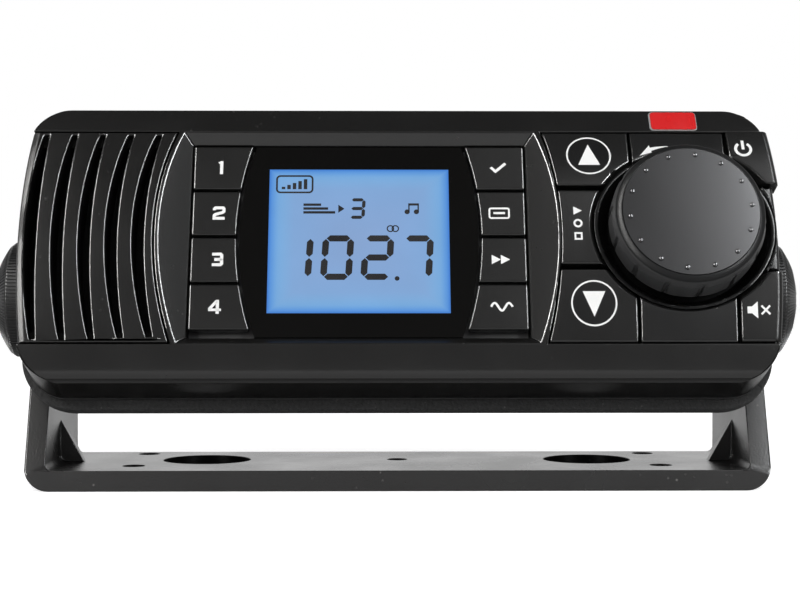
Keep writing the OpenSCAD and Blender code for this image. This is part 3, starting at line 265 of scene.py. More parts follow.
SATIN = {"roughness": 0.19, "rough_play": 0.02}
POLISHED = {"bump": 0.000002, "rough_play": 0.03}
SPECKLED = {"dust": 0.12, "speck": 520.0}
# The pair given last to some materials is painted shade: the specular level and roughness of faces marked for
# lower reflection.
MATERIALS = {
    "front": material("satin_front_plastic", (0.0066, 0.0064, 0.0062), specular=0.45, painted_shade=(0.24, 0.21),
                      **SATIN, **SPECKLED),
    "louvre": material("satin_louvre_plastic", (0.0064, 0.0062, 0.0060), specular=0.43, painted_shade=(0.02, 0.5),
                       **SATIN, **SPECKLED),
    "panel": material("satin_panel_plastic", (0.0066, 0.0066, 0.0067), specular=0.45, painted_shade=(0.13, 0.30),
                      **SATIN),
    "key": material("satin_key_plastic", (0.0072, 0.0071, 0.0069), specular=0.43, painted_shade=(0.13, 0.30), **SATIN),
    "well": material("well_ring_plastic", (0.003, 0.003, 0.0031), 0.25, specular=0.15),
    "gloss": material("gloss_window", (0.0035, 0.0033, 0.0031), 0.12, specular=0.09, **POLISHED),
    "dish": material("gloss_key_disc", (0.004, 0.004, 0.0042), 0.18, **POLISHED),
    "grip": material("soft_grip", (0.018, 0.0182, 0.0188), 0.48, grain=2600.0, bump=0.00006, specular=0.30,
                     sheen=0.04),
    "rim": material("soft_rim", (0.012, 0.0122, 0.0126), 0.34, grain=2600.0, bump=0.00003, specular=0.07),
    "cap": material("graphite_cap", (0.053, 0.053, 0.0545), 0.26, metallic=0.9, grain=5200.0, tone=0.08,
                    bump=0.000006, rough_play=0.004),
    "bracket": material("bracket_plastic", (0.0085, 0.0080, 0.0080), 0.25, grain=2200.0, bump=0.00003,
                        specular=0.44, rough_play=0.04, dust=0.5, speck=620.0, painted_shade=(0.23, 0.30)),
    "clamp": material("clamp_plastic", (0.020, 0.020, 0.0203), 0.36, specular=0.2, rough_play=0.03),
    "foam": material("gasket_foam", (0.024, 0.024, 0.0243), 0.95, grain=1500.0, bump=0.0005, tone=0.7,
                     specular=0.2, dust=0.5, speck=900.0),
    "cloth": material("grille_cloth", (0.004, 0.004, 0.004), 0.95, grain=1800.0, bump=0.0002, tone=0.5,
                      specular=0.1),
    "board": material("green_board", (0.012, 0.075, 0.030), 0.45, grain=900.0, coat=0.3),
    "part": material("black_part", (0.010, 0.010, 0.0105), 0.5),
    "guide": material("light_guide", (0.62, 0.66, 0.70), 0.25, bump=0.000005, tone=0.05),
    "steel": material("plated_steel", (0.52, 0.52, 0.51), 0.30, metallic=1.0, tone=0.08),
    "sink": material("black_anodised", (0.022, 0.022, 0.024), 0.38, metallic=0.5, tone=0.2, dust=0.2),
    "brass": material("brass", (0.60, 0.42, 0.17), 0.28, metallic=1.0, tone=0.08),
    "cone": material("cone_paper", (0.02, 0.02, 0.02), 0.85, grain=1200.0, bump=0.0001, tone=0.35),
    "print": material("white_print", (0.90, 0.90, 0.89), 0.55, tone=0.04, bump=0.000004, specular=0.3),
    "badge": material("red_badge", (0.70, 0.006, 0.008), 0.3, tone=0.06, coat=0.15, bump=0.000004,
                      specular=0.3),
    "badge_rim": material("pale_badge_rim", (0.30, 0.31, 0.31), 0.3, tone=0.06, bump=0.000004),
    "ink": material("display_ink", (0.004, 0.004, 0.006), 0.5, tone=0.1, bump=0.000002, specular=0.1),
    "display": display_material(),
}

NODE_MATERIALS = {
    "gimbal_bracket": "bracket", "front_fascia": "front", "louvre_grille": "louvre", "grille_cloth": "cloth",
    "speaker_basket": "part", "speaker_cone": "cone", "speaker_magnet": "steel", "control_panel": "panel",
    "knob_well_ring": "well", "display_window": "gloss", "display_frame": "part", "lcd_panel": "gloss",
    "lcd_backlight": "guide", "control_board": "board", "key_switches": "part", "encoder_body": "steel",
    "encoder_nut": "brass", "sealing_gasket": "foam", "rear_housing": "part", "flange_screws": "steel",
    "heat_sink": "sink", "heat_sink_screws": "steel", "main_board": "board", "amplifier_chip": "part",
    "antenna_socket": "brass", "cable_grommet": "grip", "pivot_inserts": "brass", "friction_washers": "part",
    "knob_cap": "cap", "knob_grip": "grip", "encoder_shaft": "brass",
    "left_clamp_washer": "steel", "right_clamp_washer": "steel", "left_clamp_knob": "clamp",
    "right_clamp_knob": "clamp", "left_clamp_stud": "steel", "right_clamp_stud": "steel",
}
for name, cad in nodes.items():
    cad.data.materials.clear()
    cad.data.materials.append(MATERIALS[NODE_MATERIALS.get(name, "key")])


# Mesh tools

def piece(name, mesh, look, body):
    """A finished piece that moves with a body."""
    made = bpy.data.objects.new(name, mesh)
    bpy.context.collection.objects.link(made)
    mesh.materials.clear()
    mesh.materials.append(MATERIALS[look])
    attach(made, body)
    return made


def closed_mesh(work, name):
    """The mesh of a closed shape, with its faces turned outwards."""
    bmesh.ops.recalc_face_normals(work, faces=work.faces)
    mesh = bpy.data.meshes.new(name)
    work.to_mesh(mesh)
    work.free()
    return mesh


def merge(work, verts, reach=0.002):
    """Joins corners that lie within reach of each other, in mm."""
    bmesh.ops.remove_doubles(work, verts=verts, dist=reach / 1000)


def bevel(work, edges, width, segments):
    """Rounds edges off by the given width in mm."""
    bmesh.ops.bevel(work, geom=edges, offset=width / 1000, offset_type="OFFSET", segments=segments,
                    profile=0.5, affect="EDGES", clamp_overlap=False, loop_slide=True)


def round_over(width):
    """How far a quarter round of the given width lies behind the face at a distance from its edge, in mm."""
    def push(gap):
        turn = min(1.0, max(0.0, (width - gap) / width))
        return width * (1.0 - math.sqrt(1.0 - turn * turn))
    return push


def lean_over(width, ease, angle):
    """How far a face that eases into a lean lies behind the flat at a distance from its edge, in mm."""
    def push(gap):
        reach = max(0.0, width - gap)
        fall = reach * reach / (2 * ease) if reach < ease else reach - ease / 2
        return math.tan(math.radians(angle)) * fall
    return push


CHEEK_BOW = 577.0
CUT_REACH = 0.0000002
FRONT_BAND = 1.0


def bend_outer(work, side, cheek, cuts, pushes, hard):
    """Bends the front of a face piece back towards its outer side, which bows out to the cheek, in mm."""
    def bow(vert):
        return side * (upright(vert.co * 1000)[1] - FACE_CENTRE_Z) ** 2 / CHEEK_BOW / 1000

    for vert in work.verts:
        vert.co.x += bow(vert)
    for cut in cuts:
        bmesh.ops.bisect_plane(work, geom=[*work.verts, *work.edges, *work.faces], dist=CUT_REACH,
                               plane_co=(side * (cheek - cut) / 1000, 0, 0), plane_no=(side, 0, 0))
    work.normal_update()
    chosen = hard()
    backward = Vector((0, COS, -SIN)) / 1000
    for vert in work.verts:
        if behind_face(vert.co * 1000) < FRONT_BAND:
            gap = cheek - side * vert.co.x * 1000
            vert.co += backward * sum(push(gap) for push in pushes)
    for vert in work.verts:
        vert.co.x -= bow(vert)
    return chosen


FLAT_ANGLE, SHARP_ANGLE = math.radians(0.3), math.radians(35)
ROUNDED_DEPTH, ROUNDED_INSIDE = 1.5, 4.5


def soften(name, width, body, segments=2, angle=28.0, bold=None, weld=None, reshape=None, painted_shade=None,
           bend=None):
    """A CAD piece with its hard edges rounded off by the given width in mm, the bold edges by more.

    Corners that pass the weld test are joined. A bend gives the side of a face piece that is bent back, where
    that side ends, the cuts and the bends inside it, and how far inside it the rounding of edges stops.
    """
    mesh = nodes[name].data.copy()
    mesh.name = "soft_" + name
    low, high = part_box(name)
    work = bmesh.new()
    work.from_mesh(mesh)
    merge(work, work.verts)
    bmesh.ops.dissolve_limit(work, angle_limit=FLAT_ANGLE, verts=work.verts, edges=work.edges)
    if weld:
        test, reach = weld
        merge(work, [vert for vert in work.verts if test(vert.co * 1000)], reach)

    def hard_edges():
        return [edge for edge in work.edges
                if edge.is_manifold and edge.calc_face_angle(0.0) > math.radians(angle)]

    if bold:
        test, bold_width, bold_segments = bold
        bevel(work, [edge for edge in hard_edges() if all(test(vert.co * 1000) for vert in edge.verts)],
              bold_width, bold_segments)
    if bend:
        side, cheek, cuts, pushes, rim = bend

        def rounded(edge):
            gap = max(cheek - side * vert.co.x * 1000 for vert in edge.verts)
            deep = min(behind_face(vert.co * 1000) for vert in edge.verts)
            return gap > rim and (deep < ROUNDED_DEPTH or gap > ROUNDED_INSIDE)

        def inner_edges():
            return [edge for edge in hard_edges() if rounded(edge)]

        chosen = bend_outer(work, side, cheek, cuts, pushes, inner_edges)
    else:
        chosen = hard_edges()
    bevel(work, chosen, width, segments)
    for vert in work.verts:
        vert.co = [min(max(value, least), most) for value, least, most in zip(vert.co, low, high)]
        if reshape:
            vert.co = reshape(vert.co)
    merge(work, work.verts)
    bmesh.ops.triangulate(work, faces=[face for face in work.faces if len(face.verts) > 4])
    work.normal_update()
    work.to_mesh(mesh)
    work.free()
    # Marks each face with how much painted shade it gets, which its material reads as lower reflection.
    if painted_shade:
        marks = mesh.attributes.new("painted_shade", "FLOAT", "FACE")
        levels = [float(painted_shade(face.normal, face.center * 1000)) for face in mesh.polygons]
        marks.data.foreach_set("value", levels)
    mesh.shade_smooth()
    mesh.set_sharp_from_angle(angle=SHARP_ANGLE)
    made = piece("soft_" + name, mesh, NODE_MATERIALS.get(name, "key"), body)
    normals = made.modifiers.new("face_weight", "WEIGHTED_NORMAL")
    normals.keep_sharp = True
    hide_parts(name)
    return made


def strip(points, width, closed=False, step=0.7):
    """A mitred line of the given width as rows of quads, cut short enough to follow a bowed face."""
    points = [Vector(point) for point in points]
    fine = []
    count = len(points) if closed else len(points) - 1
    for index in range(count):
        start, end = points[index], points[(index + 1) % len(points)]
        cuts = max(1, int((end - start).length / step))
        fine += [start.lerp(end, cut / cuts) for cut in range(cuts)]
    if not closed:
        fine.append(points[-1])
    total = len(fine)
    sides = []
    for index, point in enumerate(fine):
        before = fine[index - 1] if index or closed else None
        after = fine[(index + 1) % total] if index < total - 1 or closed else None
        forward = (after - point).normalized() if after else (point - before).normalized()
        backward = (point - before).normalized() if before else forward
        mean = (forward + backward).normalized()
        across = Vector((-mean.y, mean.x))
        reach = width / 2 / max(0.35, mean.dot(forward))
        sides.append((point + across * reach, point - across * reach))
    return [[sides[i][0], sides[i][1], sides[(i + 1) % total][1], sides[(i + 1) % total][0]]
            for i in range(total if closed else total - 1)]


def arc(x, y, radius, start, end, count=24):
    """Points on an arc, angles in degrees from the right, turning left."""
    turns = [math.radians(start + (end - start) * i / count) for i in range(count + 1)]
    return [(x + radius * math.cos(turn), y + radius * math.sin(turn)) for turn in turns]


def circle(radius, count):
    """Points evenly round a circle about the origin."""
    return [(radius * math.cos(math.tau * i / count), radius * math.sin(math.tau * i / count))
            for i in range(count)]


def ring(x, y, radius, width, count=48):
    """A round line of the given width."""
    return strip(arc(x, y, radius, 0, 360, count)[:-1], width, closed=True, step=5)


def disc(x, y, radius, rings=5, count=40):
    """A filled disc as quads with a small triangle fan in the middle."""
    faces = []
    for level in range(rings):
        low = arc(x, y, radius * level / rings, 0, 360, count)
        high = arc(x, y, radius * (level + 1) / rings, 0, 360, count)
        for i in range(count):
            outer = [high[i], high[i + 1]]
            faces.append([low[i], *outer, low[i + 1]] if level else [(x, y), *outer])
    return faces


def box_face(x0, y0, x1, y1):
    """A filled upright rectangle."""
    return strip([((x0 + x1) / 2, y0), ((x0 + x1) / 2, y1)], x1 - x0)


def triangle(a, b, c, rows=5):
    """A filled triangle cut into rows between its point a and its side b, c."""
    a, b, c = Vector(a), Vector(b), Vector(c)
    faces = []
    for row in range(rows):
        near, far = row / rows, (row + 1) / rows
        left, right = a.lerp(b, near), a.lerp(c, near)
        low, high = a.lerp(b, far), a.lerp(c, far)
        faces.append([left, low, high, right] if row else [a, low, high])
    return faces


def printed(name, faces, place, look, body, lift=0.05, sink=0.05):
    """Thin solid print from flat faces, laid on a surface by the given mapping."""
    work = bmesh.new()
    known = {}
    for face in faces:
        corners = []
        for u, v in face:
            key = (round(u, 4), round(v, 4))
            if key not in known:
                known[key] = work.verts.new((u, v, 0.0))
            if known[key] not in corners:
                corners.append(known[key])
        if len(corners) > 2 and not work.faces.get(corners):
            work.faces.new(corners)
    bmesh.ops.recalc_face_normals(work, faces=work.faces)
    raised = bmesh.ops.extrude_face_region(work, geom=list(work.faces), use_keep_orig=True)
    top = {made for made in raised["geom"] if isinstance(made, bmesh.types.BMVert)}
    for vert in work.verts:
        vert.co = place(vert.co.x, vert.co.y, lift if vert in top else -sink)
    return piece(name, closed_mesh(work, name), look, body)


# Rounded copies of the CAD pieces that show

BRACKET_HALF, BRACKET_CORNER, ARM_INSIDE = 85.3, 5.5, 76.0
BASE_TOP, BASE_MIDDLE = 5.0, 3.0
# How far each hole lies from the base's middle, aside and away, and its radius with a margin
BASE_HOLES = [(46.0, 0.0, 10.9), (0.0, 0.0, 2.7), (61.8, 14.0, 2.9)]


def outer_u(place):
    """Whether a place lies on the outside of the bracket's U."""
    inner_x = BRACKET_HALF - BRACKET_CORNER
    x, z = abs(place.x), place.z
    if x > inner_x and z < BRACKET_CORNER:
        return math.hypot(x - inner_x, z - BRACKET_CORNER) > BRACKET_CORNER - 0.2
    return x > BRACKET_HALF - 0.2 or z < 0.2


def lean_corner(place):
    """Whether a place lies where the leaning arm's front meets the round lower corner."""
    return abs(place.x) > 83.5 and 4.0 < place.z < 6.2


def arm_or_hole(normal, place):
    """Painted shade, as lower reflection, of a bracket face: 1 on the arms' leaning fronts, 2 on the walls of
    the holes.
    """
    if place.z < BASE_TOP and abs(normal.z) < 0.6:
        aside, away = abs(place.x), abs(place.y - BASE_MIDDLE)
        if any(math.hypot(aside - x, away - y) < radius for x, y, radius in BASE_HOLES):
            return 2.0
    return float(abs(place.x) > ARM_INSIDE and place.z > BASE_TOP and normal.y < -0.6)


PANEL_END, GRILLE_END, GRILLE_WALL = 79.0, -80.5, -82.9


def turned_out(normal, place):
    """Whether a face at the right end of the front turns outwards and so gets painted shade, as lower
    reflection.
    """
    return place.x > PANEL_END and normal.x > 0.05


def sloping(normal, place):
    """How much painted shade, as lower reflection, a face of the fascia gets.

    It is 1 on the recess's slopes and the ends, more underneath, and 2 where slopes meet, round the outer
    corners and on top.
    """
    ahead = -normal.y * COS + normal.z * SIN
    upward = normal.y * SIN + normal.z * COS
    if ahead < 0.6 and abs(normal.x) > 0.85:
        return 1.0
    if ahead < 0.6 and (abs(normal.x) > 0.1 or upward > 0.6):
        return 2.0
    if ahead < 0.95 and abs(normal.x) > 0.12 and abs(upward) > 0.13:
        return 2.0
    if upward < -0.8:
        return 1.4
    return 1.0 if 0.79 < ahead < 0.83 and abs(upward) < 0.13 else 0.0


def in_slot_or_edge(normal, place):
    """Painted shade, as lower reflection, of a grille face: 1 well behind its bowed front, less on its
    leaning outer edge.
    """
    if normal.x < -0.8 and place.x < GRILLE_WALL:
        return 0.0
    if behind_face(place) > 0.9:
        return 1.0
    return 0.5 if normal.x < -0.06 and place.x < GRILLE_END else 0.0


# The clamp knobs in the CAD, and how slim they are drawn
CLAMP_INNER, CLAMP_RIM, CLAMP_CAD_TOP, CLAMP_CAD_RADIUS, CLAMP_DOME = 86.4, 6.6, 11.6, 15.0, 25.0
CLAMP_TOP, CLAMP_RADIUS = 11.4, 13.7
CLAMP_HUB, CLAMP_EASE = 4.0, 8.0


def slim_clamp(place):
    """Draws the clamp knob in a little towards its axis and lowers its dome."""
    y, z = place.y * 1000 - PIVOT_Y, place.z * 1000 - PIVOT_Z
    share = min(1.0, max(0.0, (math.hypot(y, z) - CLAMP_HUB) / CLAMP_EASE))
    factor = 1.0 - share * (1.0 - CLAMP_RADIUS / CLAMP_CAD_RADIUS)
    along = abs(place.x) * 1000 - CLAMP_INNER
    if along > CLAMP_RIM:
        along = CLAMP_RIM + (along - CLAMP_RIM) * (CLAMP_TOP - CLAMP_RIM) / (CLAMP_CAD_TOP - CLAMP_RIM)
    out = math.copysign(CLAMP_INNER + along, place.x)
    return Vector((out, PIVOT_Y + y * factor, PIVOT_Z + z * factor)) / 1000


CHEEK = 84.6
GRILLE_CUTS = [1.7, 1.55, 1.4, 1.25, 1.1]
PANEL_CUTS = [3.9, 3.4, 2.9, 2.4, 1.9, 1.4, 0.9, 0.7, 0.5, 0.33, 0.2, 0.1, 0.04]
# The face masks given to the bracket, fascia, grille and panel lay painted shade on them as lower reflection.
soften("gimbal_bracket", 0.22, "bracket", segments=3, angle=40.0, bold=(outer_u, 0.5, 3),
       weld=(lean_corner, 1.3), painted_shade=arm_or_hole)
soften("front_fascia", 0.34, "head", segments=4, painted_shade=sloping)
soften("louvre_grille", 0.42, "head", segments=4, painted_shade=in_slot_or_edge,
       bend=(-1, CHEEK, GRILLE_CUTS, [lean_over(1.7, 0.6, 16.0)], -1.0))
soften("control_panel", 0.40, "head", segments=4, painted_shade=turned_out,
       bend=(1, CHEEK, PANEL_CUTS, [lean_over(3.9, 3.0, 8.0), round_over(0.9)], 1.3))
soften("knob_well_ring", 0.25, "head")
soften("rear_housing", 0.6, "head")
soften("heat_sink", 0.25, "head")
soften("sealing_gasket", 0.6, "head", segments=3)
soften("knob_grip", 0.45, "volume_knob", segments=3)
KEYS = ["key_preset_1", "key_preset_2", "key_preset_3", "key_preset_4", "key_select", "key_display",
        "key_scan", "key_band", "key_up", "key_source", "key_down", "key_power", "key_mute"]
# The keys at the right end: where their outer side ends and how wide it is rounded
OUTER_ROUND = {"key_power": (85.8, 1.3), "key_mute": (85.2, 1.6)}
# Each key gets painted shade, as lower reflection, on its faces that turn outwards at the right end.
for key in KEYS:
    bend = None
    if key in OUTER_ROUND:
        cheek, reach = OUTER_ROUND[key]
        cuts = [reach * (1 - math.sin(math.radians(turn))) for turn in range(0, 85, 12)]
        bend = (1, cheek, cuts, [round_over(reach)], 0.03)
    soften(key, 0.42, key, segments=4, bend=bend, painted_shade=turned_out)
for side in ("left", "right"):
    soften(side + "_clamp_knob", 0.3, side + "_clamp", segments=3, reshape=slim_clamp)

# The knob: a slightly domed disc in a soft rim

KNOB_X, KNOB_Z = 63.8, 1.9
DISC_TOP, DISC_SAG, DISC_R = -8.95, 0.60, 14.9


def disc_depth(radius):
    """How deep the domed disc lies at a distance from its axis."""
    return DISC_TOP + DISC_SAG * (radius / DISC_R) ** 2


def turned(name, profile, look, body, count=120):
    """A piece turned about the knob's axis from radius and depth in mm.

    A profile that starts and ends off the axis is a closed ring.
    """
    work = bmesh.new()
    rings = []
    for radius, depth in profile:
        points = circle(radius, count) if radius else [(0.0, 0.0)]
        rings.append([work.verts.new(head(KNOB_X + a, depth, KNOB_Z + b)) for a, b in points])
    pairs = list(zip(rings, rings[1:]))
    if len(rings[0]) > 1 and len(rings[-1]) > 1:
        pairs.append((rings[-1], rings[0]))
    for low, high in pairs:
        for i in range(count):
            after = i + 1
            corners = [low[i % len(low)], low[after % len(low)], high[after % len(high)], high[i % len(high)]]
            work.faces.new(list(dict.fromkeys(corners)))
    mesh = closed_mesh(work, name)
    mesh.shade_smooth()
    mesh.set_sharp_from_angle(angle=math.radians(40))
    return piece(name, mesh, look, body)


disc_radii = (0.0, 2.0, 4.0, 6.0, 8.0, 10.0, 12.0, 13.2, 14.3, 15.02)
disc_profile = [(radius, disc_depth(radius)) for radius in disc_radii]
disc_profile += [(15.08, -8.2), (15.08, -7.2), (0.0, -7.2)]
rim_profile = [(15.1, -7.2), (15.1, -8.0), (15.13, -8.1), (15.24, -8.15), (15.4, -8.1), (15.85, -7.84),
               (16.25, -7.58), (16.42, -7.42), (16.48, -7.24), (16.42, -7.1), (16.25, -7.06), (15.3, -7.06)]
knob_disc = turned("knob_disc", disc_profile, "cap", "volume_knob")
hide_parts("knob_cap")
turned("knob_rim", rim_profile, "rim", "volume_knob")


# Ribs of the clamp knobs, dots of the volume knob and the heat sink's screws, repeated by geometry nodes

def repeat_tree(name, inputs):
    """A geometry node tree with a geometry, named sizes and a material coming in."""
    tree = bpy.data.node_groups.new(name, "GeometryNodeTree")
    tree.interface.new_socket("Geometry", in_out="INPUT", socket_type="NodeSocketGeometry")
    sockets = {}
    for label, kind in {**inputs, "Finish": "NodeSocketMaterial"}.items():
        sockets[label] = tree.interface.new_socket(label, in_out="INPUT", socket_type=kind).identifier
    tree.interface.new_socket("Geometry", in_out="OUTPUT", socket_type="NodeSocketGeometry")
    start, end = node(tree, "NodeGroupInput", -1000), node(tree, "NodeGroupOutput", 900)
    copies = node(tree, "GeometryNodeInstanceOnPoints", -200)
    real = node(tree, "GeometryNodeRealizeInstances", 50)
    placed = node(tree, "GeometryNodeTransform", 300)
    finish = node(tree, "GeometryNodeSetMaterial", 600)
    links = tree.links
    links.new(start.outputs["Geometry"], copies.inputs["Instance"])
    links.new(copies.outputs["Instances"], real.inputs["Geometry"])
    links.new(real.outputs["Geometry"], placed.inputs["Geometry"])
    links.new(placed.outputs["Geometry"], finish.inputs["Geometry"])
    links.new(start.outputs["Finish"], finish.inputs["Material"])
    links.new(finish.outputs["Geometry"], end.inputs["Geometry"])
    return tree, sockets, start, copies, placed


def ring_tree():
    """Copies a shape round the X axis and moves the ring to its place."""
    tree, sockets, start, copies, placed = repeat_tree("ring_of_copies", {
        "Copies": "NodeSocketInt", "Axis Place": "NodeSocketVector", "Axis Turn": "NodeSocketVector"})
    points = node(tree, "GeometryNodePoints", -700, 200)
    index = node(tree, "GeometryNodeInputIndex", -1000, -300)
    share = node(tree, "ShaderNodeMath", -700, -300, operation="DIVIDE")
    turn = node(tree, "ShaderNodeMath", -550, -300, {1: math.tau}, operation="MULTIPLY")
    spin = node(tree, "ShaderNodeCombineXYZ", -400, -300)
    links = tree.links
    links.new(start.outputs["Copies"], points.inputs["Count"])
    links.new(points.outputs[0], copies.inputs["Points"])
    links.new(index.outputs[0], share.inputs[0])
    links.new(start.outputs["Copies"], share.inputs[1])
    links.new(share.outputs[0], turn.inputs[0])
    links.new(turn.outputs[0], spin.inputs["X"])
    links.new(spin.outputs[0], copies.inputs["Rotation"])
    links.new(start.outputs["Axis Place"], placed.inputs["Translation"])
    links.new(start.outputs["Axis Turn"], placed.inputs["Rotation"])
    return tree, sockets


def corner_tree():
    """Copies a shape to the four corners of a rectangle and turns it to its place."""
    tree, sockets, start, copies, placed = repeat_tree("corner_screws", {
        "Span X": "NodeSocketFloat", "Span Y": "NodeSocketFloat", "Place": "NodeSocketVector",
        "Turn": "NodeSocketVector"})
    grid = node(tree, "GeometryNodeMeshGrid", -700, 200, {"Vertices X": 2, "Vertices Y": 2})
    links = tree.links
    links.new(start.outputs["Span X"], grid.inputs["Size X"])
    links.new(start.outputs["Span Y"], grid.inputs["Size Y"])
    links.new(grid.outputs["Mesh"], copies.inputs["Points"])
    links.new(start.outputs["Place"], placed.inputs["Translation"])
    links.new(start.outputs["Turn"], placed.inputs["Rotation"])
    return tree, sockets


def repeated(name, shape, tree, sockets, values, look, body):
    """Runs a geometry node tree on a shape and keeps the result as a plain mesh."""
    source = bpy.data.objects.new(name + "_shape", shape)
    bpy.context.collection.objects.link(source)
    modifier = source.modifiers.new("repeat", "NODES")
    modifier.node_group = tree
    for label, value in {**values, "Finish": MATERIALS[look]}.items():
        modifier[sockets[label]] = value
    bpy.context.view_layer.update()
    ready = source.evaluated_get(bpy.context.evaluated_depsgraph_get())
    mesh = bpy.data.meshes.new_from_object(ready)
    mesh.name = name
    source.modifiers.remove(modifier)
    bpy.data.objects.remove(source)
    return piece(name, mesh, look, body)


def tube(name, rows):
    """A closed shape through rows of as many corners each, in mm, with a flat face at both ends."""
    work = bmesh.new()
    rings = [[work.verts.new(Vector(corner) / 1000) for corner in row] for row in rows]
    for low, high in zip(rings, rings[1:]):
        count = len(low)
        for i in range(count):
            work.faces.new((low[i], low[(i + 1) % count], high[(i + 1) % count], high[i]))
    work.faces.new(rings[0])
    work.faces.new(rings[-1])
    return closed_mesh(work, name)


RIB_HEIGHT, RIB_SINK = 0.26, -0.25


def clamp_rib(side):
    """One rib that runs out along the rim of a clamp knob and over the shoulder of its dome."""
    stations = [(0.5, CLAMP_RADIUS, 90.0, 0.02), (0.8, CLAMP_RADIUS, 90.0, RIB_HEIGHT),
                (6.2, CLAMP_RADIUS, 90.0, RIB_HEIGHT)]
    for radius, height in ((14.2, 0.25), (12.8, 0.24), (11.2, 0.22), (9.6, 0.18), (8.8, -0.10)):
        along = CLAMP_INNER + CLAMP_CAD_TOP - CLAMP_DOME + math.sqrt(CLAMP_DOME ** 2 - radius ** 2)
        slim = slim_clamp(Vector((along, PIVOT_Y, PIVOT_Z + radius)) / 1000) * 1000
        lean = math.degrees(math.asin(radius / CLAMP_DOME))
        stations.append((slim.x - CLAMP_INNER, slim.z - PIVOT_Z, lean, height))
    rows = []
    for along, radius, lean, height in stations:
        out_x, out_z = math.cos(math.radians(lean)), math.sin(math.radians(lean))
        outline = ((-0.27, RIB_SINK), (-0.12, height), (0.12, height), (0.27, RIB_SINK))
        rows.append([(side * (CLAMP_INNER + along + out * out_x), across * radius / CLAMP_RADIUS,
                      radius + out * out_z) for across, out in outline])
    return tube("clamp_rib", rows)


RING, RING_SOCKETS = ring_tree()
for side, sign in (("left", -1), ("right", 1)):
    repeated(side + "_clamp_ribs", clamp_rib(sign), RING, RING_SOCKETS,
             {"Copies": 100, "Axis Place": (0.0, PIVOT_Y / 1000, PIVOT_Z / 1000),
              "Axis Turn": (0.0, 0.0, 0.0)},
             "clamp", side + "_clamp")


def knob_dot():
    """One small dome near the edge of the knob's disc. X runs out along the knob's axis."""
    around, radius, rise, sink, turn, count = 13.5, 0.60, 0.42, 0.06, math.radians(5.7), 14
    foot = -disc_depth(around) - sink
    middle_y, middle_z = -around * math.sin(turn), around * math.cos(turn)
    levels = [(1.0, 0.0), (0.96, 0.35), (0.80, 0.68), (0.52, 0.90), (0.22, 0.99)]
    mesh = tube("knob_dot", [[(foot + out * (rise + sink), middle_y + a, middle_z + b)
                              for a, b in circle(radius * share, count)] for share, out in levels])
    mesh.shade_smooth()
    return mesh


OUTWARD = Matrix(((0, 0, 1), (-COS, -SIN, 0), (SIN, -COS, 0)))
repeated("knob_dots", knob_dot(), RING, RING_SOCKETS,
         {"Copies": 14, "Axis Place": head(KNOB_X, 0, KNOB_Z), "Axis Turn": OUTWARD.to_euler()},
         "cap", "volume_knob")


def screw_head():
    """A pan head with a cross recess, on the XY plane, in metres."""
    count, radius, height, depth = 24, 2.7, 2.0, 1.0
    work = bmesh.new()
    rings = []
    for share, z in ((1.0, 0.0), (1.0, 1.0), (0.93, 1.5), (0.78, 1.85), (0.60, height)):
        points = circle(radius * share, count)
        rings.append([work.verts.new((a / 1000, b / 1000, z / 1000)) for a, b in points])
    for low, high in zip(rings, rings[1:]):
        for i in range(count):
            work.faces.new((low[i], low[(i + 1) % count], high[(i + 1) % count], high[i]))
    work.faces.new(rings[0])
    arm, half, taper = 1.25, 0.32, 0.7
    cross = [(arm, -half), (arm, half), (half, half), (half, arm), (-half, arm), (-half, half), (-arm, half),
             (-arm, -half), (-half, -half), (-half, -arm), (half, -arm), (half, -half)]
    lip = [work.verts.new((x / 1000, y / 1000, height / 1000)) for x, y in cross]
    pit = [work.verts.new((x * taper / 1000, y * taper / 1000, (height - depth) / 1000)) for x, y in cross]
    for i in range(12):
        work.faces.new((lip[i], lip[(i + 1) % 12], pit[(i + 1) % 12], pit[i]))
    work.faces.new(pit)
    top = []
    for loop in (rings[-1], lip):
        top += [work.edges.get((loop[i], loop[(i + 1) % len(loop)])) for i in range(len(loop))]
    bmesh.ops.triangle_fill(work, edges=top, use_beauty=True)
    return closed_mesh(work, "screw_head")


SINK_BACK = 52.0
BACKWARD = Matrix(((-1, 0, 0), (0, SIN, COS), (0, COS, -SIN)))
CORNERS, CORNER_SOCKETS = corner_tree()
screws = repeated("cross_head_screws", screw_head(), CORNERS, CORNER_SOCKETS,
                  {"Span X": 0.136, "Span Y": 0.030, "Place": head(0, SINK_BACK, 0),
                   "Turn": BACKWARD.to_euler()},
                  "steel", "head")
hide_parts("heat_sink_screws")

# The lit display and what it shows

SCREEN_Y, SCREEN_HALF = 5.2, 0.04
SCREEN = (-29.4, 11.4, -17.0, 18.05)
SCREEN_X, SCREEN_Z = (SCREEN[0] + SCREEN[1]) / 2, (SCREEN[2] + SCREEN[3]) / 2
SLANT = math.tan(math.radians(3.3))


def lit_screen():
    """A thin plate with its own map for the glow."""
    left, right, low, high = SCREEN
    work = bmesh.new()
    layer = work.loops.layers.uv.new("display")
    corners = [(left, low), (right, low), (right, high), (left, high)]
    front = [work.verts.new(head(x, SCREEN_Y - SCREEN_HALF, z)) for x, z in corners]
    back = [work.verts.new(head(x, SCREEN_Y + SCREEN_HALF, z)) for x, z in corners]
    made = [work.faces.new(front), work.faces.new(back[::-1])]
    made += [work.faces.new((front[(i + 1) % 4], front[i], back[i], back[(i + 1) % 4])) for i in range(4)]
    shares = {}
    for i, share in enumerate([(0, 0), (1, 0), (1, 1), (0, 1)]):
        shares[front[i]] = shares[back[i]] = share
    for face in made:
        for loop in face.loops:
            loop[layer].uv = shares[loop.vert]
    return piece("lit_screen", closed_mesh(work, "lit_screen"), "display", "head")


lit_screen()

SEGMENTS = {"0": "abcdef", "1": "bc", "2": "abged", "3": "abgcd", "7": "abc"}


